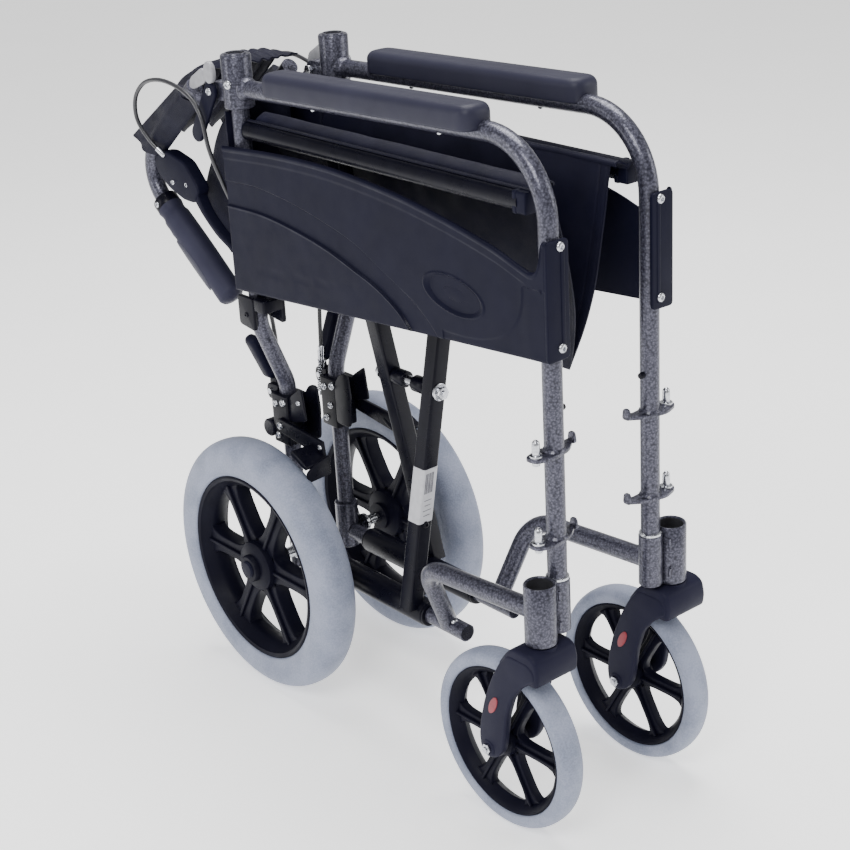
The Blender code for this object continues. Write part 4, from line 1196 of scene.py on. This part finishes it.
def latch(side, s):
    """The release paddle outside the back hinge, with its pale thumb pad."""
    x = s * (FRAME_X + 0.0132)
    top, tip = (0.519, 0.716), (0.553, 0.664)
    direction = Vector((tip[0] - top[0], tip[1] - top[1])).normalized()
    angle = math.degrees(math.atan2(direction.y, direction.x))
    outline = arc(top, 0.0105, angle + 90, angle + 270) + arc(tip, 0.0098, angle - 90, angle + 90)
    pad = [(0.5180 + b, 0.7370 + a) for a, b in ellipse((0, 0), 0.0125, 0.0088, 30)]
    stalk = [(0.522, 0.733), (0.532, 0.741), (0.556, 0.727), (0.560, 0.716), (0.552, 0.714), (0.528, 0.724)]
    parts = [
        (along_x(outline, x, x + s * 0.0050, 0.0016), PLASTIC),
        (along_x(pad, x - s * 0.0010, x + s * 0.0058, 0.0020), LATCH_GREY),
        (along_x(soften(stalk, 0.004), x + s * 0.0004, x + s * 0.0044, 0.0012), LATCH_GREY),
        (screw_head(row(x + s * 0.0050, *top), Vector((s, 0, 0)), 0.0046), STEEL),
    ]
    piece(f"latch_paddle_{side}", f"latch_lever_{side}", parts, [f"latch_lever_{side}"])


# ---- brakes ---------------------------------------------------------------------------------------
def brake(side, s):
    x = s * LOWER_X
    out = Vector((s, 0, 0))
    face = x + s * 0.0150
    rear, front = 0.5030, 0.4720
    plan = [(x - 0.0150, front), (x + 0.0150, front), (x + 0.0150, rear), (x - 0.0150, rear)]
    parts = [(along_z(soften(plan, 0.003), 0.292, 0.354, 0.0012), BLACK)]
    for inner in (-0.0064, 0.0022):
        ear = soften([(0.500, 0.338), (0.520, 0.340), (0.523, 0.350), (0.520, 0.359), (0.500, 0.360)], 0.004)
        parts.append((along_x(ear, x + s * inner, x + s * (inner + 0.0042), 0.0008), BLACK))
    wing = [(0.448, 0.300), (0.474, 0.300), (0.474, 0.350), (0.462, 0.366), (0.448, 0.368), (0.444, 0.340)]
    parts.append((along_x(soften(wing, 0.006), x - s * 0.0150, x - s * 0.0118, 0.0008), BLACK))
    fin = soften([(0.440, 0.332), (0.474, 0.322), (0.474, 0.348), (0.466, 0.358), (0.446, 0.372)], 0.004)
    parts.append((along_x(fin, x + s * 0.0090, x + s * 0.0118, 0.0008), BLACK))
    parts.append((screw_head(row(x + s * 0.0118, 0.4520, 0.352), out, 0.0036), STEEL))
    screws = (0.4790, 0.346, 0.0050), (0.4840, 0.320, 0.0046), (0.4940, 0.3420, 0.0046), (0.4930, 0.302, 0.0044)
    for y, z, r in screws:
        parts.append((screw_head(row(face, y, z), out, r), STEEL))
        parts.append((screw_head(row(x - s * 0.0150, y, z), -out, r), STEEL))
    pin = [row(x + t * s * 0.009, 0.514, 0.350) for t in (-1, 1)]
    parts.append((tube(pin, 0.0034, 20), STEEL))
    piece(f"brake_housing_{side}", f"{side}_frame", parts, [f"brake_bracket_{side}"])

    spring_top, spring_low = row(s * 0.0310, 0.5095, 0.369), row(s * 0.0310, 0.5165, 0.326)
    barrel = [(0, 0), (0.0034, 0), (0.0034, 0.010), (0.0026, 0.012), (0.0026, 0.018), (0, 0.018)]
    roller = [(0, -0.007), (0.0095, -0.007), (0.0110, -0.0055)]
    roller += [(radius, -height) for radius, height in roller[::-1]]
    drop = UP * 0.004
    parts = [
        (coil(spring_top, spring_low, 0.0034, 0.0007, 13), STEEL),
        (rod(spring_top + drop, spring_low - drop, 0.0012, 10), STEEL),
        (lathe(barrel, spring_top, UP, 20), STEEL),
        (hex_nut(spring_top - drop / 2, UP, 0.0052, 0.0030), STEEL),
        (lathe(roller, row(s * 0.0460, 0.5110, 0.306), out, 32), GLOSS),
    ]
    piece(f"brake_spring_{side}", f"{side}_frame", parts)

    pivot = (0.514, 0.350)
    tongue = [*arc(pivot, 0.0075, 180, 360), (0.521, 0.374), (0.509, 0.374)]
    base, tip = row(x + s * 0.002, 0.515, 0.366), row(s * 0.0635, 0.517, 0.425)
    along = (tip - base).normalized()
    wide = -FORWARD
    thin = along.cross(wide)
    rings = []
    for index in range(25):
        t = index / 24
        close = math.sqrt(max(0.02, 1 - max(0.0, (t - 0.86) / 0.14) ** 2))
        start = math.sqrt(max(0.15, min(1.0, t / 0.10)))
        half_wide, half_thin = 0.0098 * close * start, 0.0072 * close * start
        ring = []
        for a, b in circle(1.0, 28):
            square = (abs(a) ** 3 + abs(b) ** 3) ** (-1 / 3)
            ring.append(base.lerp(tip, t) + wide * a * square * half_wide + thin * b * square * half_thin)
        rings.append(ring)
    parts = [
        (along_x(tongue, x - s * 0.0018, x + s * 0.0018, 0.0006), BLACK),
        (rings_to_shape(rings), PLASTIC),
        (screw_head(row(x + s * 0.0018, 0.515, 0.367), out, 0.0030), STEEL),
    ]
    body = f"parking_lever_{side}"
    piece(f"parking_handle_{side}", body, parts, [body])

    lean = math.radians(90 + 24.0)
    outward = Vector((math.cos(lean), math.sin(lean)))
    across = Vector((-outward.y, outward.x))
    centre = Vector((stem_y(REAR_AXLE), REAR_AXLE.z))
    shoe = centre + outward * (REAR_AXLE.z + 0.0035)
    raised = shoe + outward * 0.0062
    plate = [shoe + across * 0.0155, shoe - across * 0.0155, raised - across * 0.0150, raised + across * 0.0150]
    strip = [*arc((0.482, 0.318), 0.0085, -90, 90), tuple(shoe + outward * 0.020)]
    strip.append(tuple(shoe + outward * 0.001 + across * 0.011))
    face = [(0.0515, 0.3060), (0.0720, 0.3010), (0.0850, 0.2930), (0.0850, 0.2800), (0.0515, 0.2820)]
    face = [(s * a, b) for a, b in face]
    parts = [
        (along_x(soften([tuple(p) for p in plate], 0.0015), s * 0.0510, s * 0.0860, 0.0012), BLACK),
        (along_x(strip, s * 0.0515, s * 0.0560, 0.0010), BLACK),
        (along_y(soften(face, 0.003), shoe.x - 0.0170, shoe.x - 0.0140, 0.0008), BLACK),
        (screw_head(row(s * 0.0560, 0.482, 0.318), out, 0.0046), STEEL),
        (screw_head(row(s * 0.0560, *(shoe + outward * 0.0120)), out, 0.0036), STEEL),
    ]
    piece(f"brake_shoe_{side}", f"brake_arm_{side}", parts, [f"brake_arm_{side}"])


def seat_saddle(side, s):
    """The moulded fork that the seat rail drops into: two cheeks and a narrow bridge around the upright."""
    x = s * FRAME_X
    parts = []
    cheeks = (0.0106, 0.0158, 0.4760, 0.5060, 0.444), (-0.0158, -0.0106, 0.4560, 0.4900, 0.452)
    for inner, outer, front, rear, low in cheeks:
        cheek = soften([(front, low), (rear, low + 0.004), (rear, 0.4838), (front, 0.4838)], 0.005)
        parts.append((along_x(cheek, x + s * inner, x + s * outer, 0.0014), BLACK))
    bridge = rectangle(x - 0.0150, x + 0.0150, 0.4560, 0.4770, 0.003)
    parts.append((along_z(bridge, 0.4690, 0.4838, 0.0015), BLACK))
    parts.append((screw_head(row(x + s * 0.0158, 0.4900, 0.462), Vector((s, 0, 0)), 0.0032), BLACK))
    piece(f"seat_stop_{side}", f"{side}_frame", parts, [f"seat_saddle_{side}"])


# ---- fabric ---------------------------------------------------------------------------------------
SEAT_HINGE = (0.042, 0.6885)
SEAT_FOLD_Z = 0.4844
SEAT_REAR_Y = 0.474
CLOTH_THICK = 0.0018


def cloth_piece(name, body, shape, nodes=()):
    return piece(name, body, [(shape, CLOTH)], nodes, SOFT_DEG)


def seat_sling():
    """The seat cloth, hanging in a fold between the rails."""
    slope = SEAT_HINGE[0] / (SEAT_HINGE[1] - SEAT_FOLD_Z)
    fold_r = 0.0030
    grid = []
    across, along = 72, 120
    for i in range(across + 1):
        u = -1 + 2 * i / across
        share = abs(u) ** 1.15
        drop = share * (SEAT_HINGE[1] - SEAT_FOLD_Z - 0.0015)
        x = math.sqrt((slope * drop) ** 2 + fold_r**2) - fold_r * (1 - share)
        z = SEAT_FOLD_Z + 0.0015 + drop
        front = 0.030 + 0.018 * (1 - share) ** 3 - 0.008 * math.sin(math.pi * share)
        column = []
        for j in range(along + 1):
            t = j / along
            v = 0.35 * t + 0.65 * t * t
            y = front + (SEAT_REAR_Y - front) * v
            edge = y - front
            pull = min(1.0, x / 0.012) * min(1.0, (1.02 - share) * 8)
            fold = ripple(y * 11 + z * 5, z * 7, u > 0) ** 2 * 0.0060
            fold += ripple(y * 30 - z * 12, z * 16, 3.0) * 0.0016
            seam = 0.0009 * bead(edge - 0.0115, 0.0012) + 0.0009 * bead(edge - 0.0010, 0.0025)
            inward = fold * pull - seam * min(1.0, x / 0.006)
            sag = 0.0030 * (ripple(y * 9, 1.7) - 0.5) * (1 - share)
            column.append(row(math.copysign(max(0.0, x - inward), u) if u else 0.0, y, z + sag))
        grid.append(column)
    sling = cloth_piece("seat_cloth", None, cloth(grid, CLOTH_THICK), ["seat_sling_right", "seat_sling_left"])
    hems = [seat_hem(side, s) for side, s in SIDES]
    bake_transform(sling)


def seat_hem(side, s):
    """The cloth's screwed edge, over the top and inner side of its rail."""
    body = "brace_front" if s > 0 else "brace_rear"
    x = RAIL_X
    turns = [math.radians(a) for a in range(84, 152, 9)]
    path = [(x + 0.0113 * math.cos(turn), RAIL_Z + 0.0113 * math.sin(turn)) for turn in turns]
    path += [(0.0562, 0.6858), (0.0505, 0.6893), (0.0445, 0.6915), (0.0412, 0.6900), (0.0408, 0.6872)]
    curve = smooth_route([Vector((a, 0, b)) for a, b in path], 3)
    grid = []
    for point in curve:
        column = []
        for j in range(91):
            y = 0.0215 + (SEAT_REAR_Y - 0.0215) * j / 90
            loose = step(0.0620 - point.x, 0.0, 0.012)
            lift = loose * 0.0012 * (ripple(y * 26, point.x * 40, 5 + s) - 0.4)
            column.append(row(s * point.x, y, point.z + lift))
        grid.append(column)
    return cloth_piece(f"seat_hem_{side}", body, cloth(grid, CLOTH_THICK))


def lower_back():
    """The lower back cloth, screwed behind the uprights and hanging in folds between them."""
    across, along, crest_at = 150, 44, 0.07
    grid = []
    for i in range(across + 1):
        t = i / across
        x = -0.0790 + 0.158 * t
        inside = max(0.0, min(1.0, (x + 0.0515) / 0.103))
        near = min(inside, 1 - inside)
        past = (near - crest_at) / (0.5 - crest_at)
        phase = 0.5 * near / crest_at if near < crest_at else 0.5 + 0.5 * past
        wave = 0.5 - 0.5 * math.cos(2 * math.pi * phase)
        column = []
        for j in range(along + 1):
            v = j / along
            low = 0.497 + 0.055 * wave**1.2 + 0.003 * math.sin(inside * 17)
            z = low + (0.6950 - low) * v
            deep = 0.118 - 0.030 * v - 0.056 * v * v
            y = 0.5000 + deep * wave * (0.94 + 0.12 * ripple(inside * 4, v * 3, 7.0))
            y += 0.0012 * ripple(x * 60, v * 9, 2.0)
            lean = 0.0030 * math.sin(v * 5 + inside * 7) * math.sin(math.pi * inside)
            column.append(row(x + lean, y, z))
        grid.append(column)
    nodes = [f"back_lower_{place}" for place in ("right", "middle", "left")]
    sheet = cloth_piece("lower_back_cloth", None, cloth(grid, CLOTH_THICK), nodes)
    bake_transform(sheet)


def raised_point(x, y, z):
    """A point of the upright backrest, given from its pivot, as it lies when folded."""
    return row(x, *lowered(y, z))


def upper_back():
    """The upper back cloth: a flat sleeve on each post, and the loose folds between them."""
    outline_low = ((-0.0525, 0.0734), (-0.0117, 0.0528))
    outline_high = ((-0.0669, 0.2089), (-0.0134, 0.1715))
    for side, s in SIDES:
        across, along = 26, 40
        ring_grid = []
        for i in range(2 * across):
            face = 1 if i < across else -1
            u = (i if i < across else 2 * across - i) / across
            column = []
            for j in range(along + 1):
                v = j / along
                y0, z0 = (outline_low[0][k] + (outline_low[1][k] - outline_low[0][k]) * u for k in (0, 1))
                y1, z1 = (outline_high[0][k] + (outline_high[1][k] - outline_high[0][k]) * u for k in (0, 1))
                y, z = y0 + (y1 - y0) * v, z0 + (z1 - z0) * v
                half = 0.0016 + 0.0102 * math.exp(-(((y + 0.032) / 0.0125) ** 2))
                half += 0.0012 * ripple(u * 5, v * 9, 11 + s)
                half *= math.sqrt(max(0.0, 1 - (2 * u - 1) ** 8)) if 0 < u < 1 else 0.0
                column.append(raised_point(s * FRAME_X + face * half, y, z))
            ring_grid.append(column)
        points = [point for column in ring_grid for point in column]
        rows = along + 1
        faces = []
        for c in range(2 * across):
            following = (c + 1) % (2 * across)
            for r in range(along):
                here, there = c * rows + r, following * rows + r
                faces.append((here, there, there + 1, here + 1))
        for r in (0, along):
            faces.append(tuple(c * rows + r for c in range(2 * across)))
        cloth_piece(f"back_sleeve_{side}", f"back_post_{side}", (points, faces))
    waves, across, along = 6, 220, 60
    grid = []
    for i in range(across + 1):
        t = i / across
        wide = -0.0580 + 0.116 * t
        dome = math.sin(math.pi * t) ** 0.5 if 0 < t < 1 else 0.0
        column = []
        for j in range(along + 1):
            v = j / along
            wander = 0.011 * math.sin(2.6 * v + 11 * t) * math.sin(math.pi * t)
            wave = 0.5 - 0.5 * math.cos(2 * math.pi * waves * (t + wander))
            wave *= 0.80 + 0.20 * math.sin(7 * t + 2.0 * v)
            z = -0.0110 + (0.2060 - 0.009 * wave + 0.0110) * v
            x = wide * (0.72 + 0.28 * step(z, 0.012, 0.045))
            crest = -0.0205 + (-0.0520 + 0.0205) * step(z, -0.0145, 0.020)
            crest += (-0.0840 + 0.0520) * step(z, 0.018, 0.100) + 0.008 * step(z, 0.120, 0.200)
            hollow = crest + 0.004 + 0.030 * step(z, 0.030, 0.090) * (1 - 0.45 * step(v, 0.72, 1.0))
            edge = -0.0500 if z > 0.05 else -0.018 - 0.032 * step(z, -0.0145, 0.05)
            y = edge + (crest + (hollow - crest) * (1 - wave) - edge) * dome
            y += 0.0015 * ripple(t * 8, v * 7, 4.0)
            column.append(raised_point(x, y, z))
        grid.append(column)
    nodes = [f"back_upper_{place}" for place in ("right", "middle", "left")]
    web = cloth_piece("upper_back_cloth", None, cloth(grid, CLOTH_THICK), nodes)
    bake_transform(web)


CABLE_UPPER = (
    (0.075, 0.6430, 0.622), (0.083, 0.6600, 0.640), (0.089, 0.6720, 0.664), (0.091, 0.6670, 0.690),
    (0.091, 0.6450, 0.710), (0.091, 0.6120, 0.718), (0.090, 0.5780, 0.715), (0.090, 0.5480, 0.704),
)
CABLE_LOWER = (
    (0.090, 0.5320, 0.685), (0.088, 0.5260, 0.650), (0.078, 0.5200, 0.610), (0.060, 0.5180, 0.560),
    (0.046, 0.5160, 0.500), (0.035, 0.5100, 0.440), (0.031, 0.5090, 0.375),
)


def brake_cable(side, s):
    route = smooth_route([row(s * x, y, z) for x, y, z in CABLE_UPPER + CABLE_LOWER], 12)
    ends = [(route[0], route[2]), (route[-1], route[-3])]
    parts = [(tube(route, CABLE_R, 16), SHEATH)]
    for end, inner in ends:
        axis = (end - inner).normalized()
        sleeve = [(0.0024, 0), (0.0036, 0.0008), (0.0036, 0.0120), (0.0030, 0.0136), (0.0024, 0.0140)]
        parts.append((lathe(sleeve, end - axis * 0.0130, axis, 20), STEEL))
    nodes = [f"cable_upper_{side}", f"cable_lower_{side}"]
    cable = piece(f"brake_cable_{side}", None, parts, nodes)
    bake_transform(cable)


# ---- scene ----------------------------------------------------------------------------------------
def camera():
    azimuth, elevation, roll = math.radians(-39.125), math.radians(22.79), math.radians(-3.23)
    flat = math.cos(elevation)
    back = Vector((math.sin(azimuth) * flat, -math.cos(azimuth) * flat, math.sin(elevation)))
    level = Vector((math.cos(azimuth), math.sin(azimuth), 0))
    right = level * math.cos(roll) + back.cross(level) * math.sin(roll)
    up = back.cross(right)
    data = bpy.data.cameras.new("photo_view")
    data.lens = 76.67
    data.sensor_width = 36.0
    obj = bpy.data.objects.new("photo_view", data)
    turned = Matrix((right, up, back)).transposed().to_4x4()
    obj.matrix_world = Matrix.Translation(row(-1.16929, -1.15747, 1.13786)) @ turned
    bpy.context.collection.objects.link(obj)
    bpy.context.scene.camera = obj


def area_light(name, place, target, size, power):
    data = bpy.data.lights.new(name, "AREA")
    data.shape = "RECTANGLE"
    data.size, data.size_y = size
    data.energy = power
    obj = bpy.data.objects.new(name, data)
    obj.location = place
    obj.rotation_mode = "QUATERNION"
    obj.rotation_quaternion = (Vector(target) - Vector(place)).to_track_quat("-Z", "Y")
    bpy.context.collection.objects.link(obj)


def studio():
    look = Look("pale_floor", 0.9)
    look.shader.inputs["Emission Color"].default_value = (1.0, 1.0, 1.0, 1.0)
    look.shader.inputs["Emission Strength"].default_value = 0.80
    look.colour(look.ramp(look.noise(3, 2), (0.3, (0.86, 0.86, 0.86)), (0.7, (0.89, 0.89, 0.89))))
    bpy.ops.mesh.primitive_plane_add(size=30, location=(0, 0, 0))
    floor = bpy.context.object
    floor.name = "studio_floor"
    floor.data.materials.append(look.material)
    world = bpy.data.worlds.new("studio")
    bpy.context.scene.world = world
    world.use_nodes = True
    background = world.node_tree.nodes["Background"]
    background.inputs["Color"].default_value = (1.0, 1.0, 1.0, 1.0)
    background.inputs["Strength"].default_value = 0.50
    area_light("key", (-1.9, -1.3, 2.4), (0, 0, 0.4), (1.2, 1.2), 60)
    area_light("top", (0.4, 0.3, 2.8), (0, 0, 0.4), (1.6, 1.6), 95)
    area_light("side", (-2.4, 1.2, 1.0), (0, 0, 0.4), (0.8, 1.6), 18)
    area_light("fill", (2.0, -2.0, 1.4), (0, 0, 0.4), (1.4, 1.4), 26)


def build_frame():
    for side, s in SIDES:
        front_tube(side, s)
        stem_housing(side, s)
        lower_rail(side, s)
        rear_upright(side, s)
        armrest_pad(side, s)
        side_panel(side, s)
        seat_saddle(side, s)
        rear_wheel(side, s)
        castor_wheel(side, s)
        castor_fork(side, s)
        seat_rail(side, s)
        back_post(side, s)
        push_grip(side, s)
        hand_lever(side, s)
        latch(side, s)
        brake(side, s)
        brake_cable(side, s)
    cross_bar("front", "brace_front", 1, BAR_Y[0])
    cross_bar("rear", "brace_rear", -1, BAR_Y[1])
    pivot_hardware()
    bar_label()
    seat_sling()
    lower_back()
    upper_back()


camera()
studio()
build_frame()
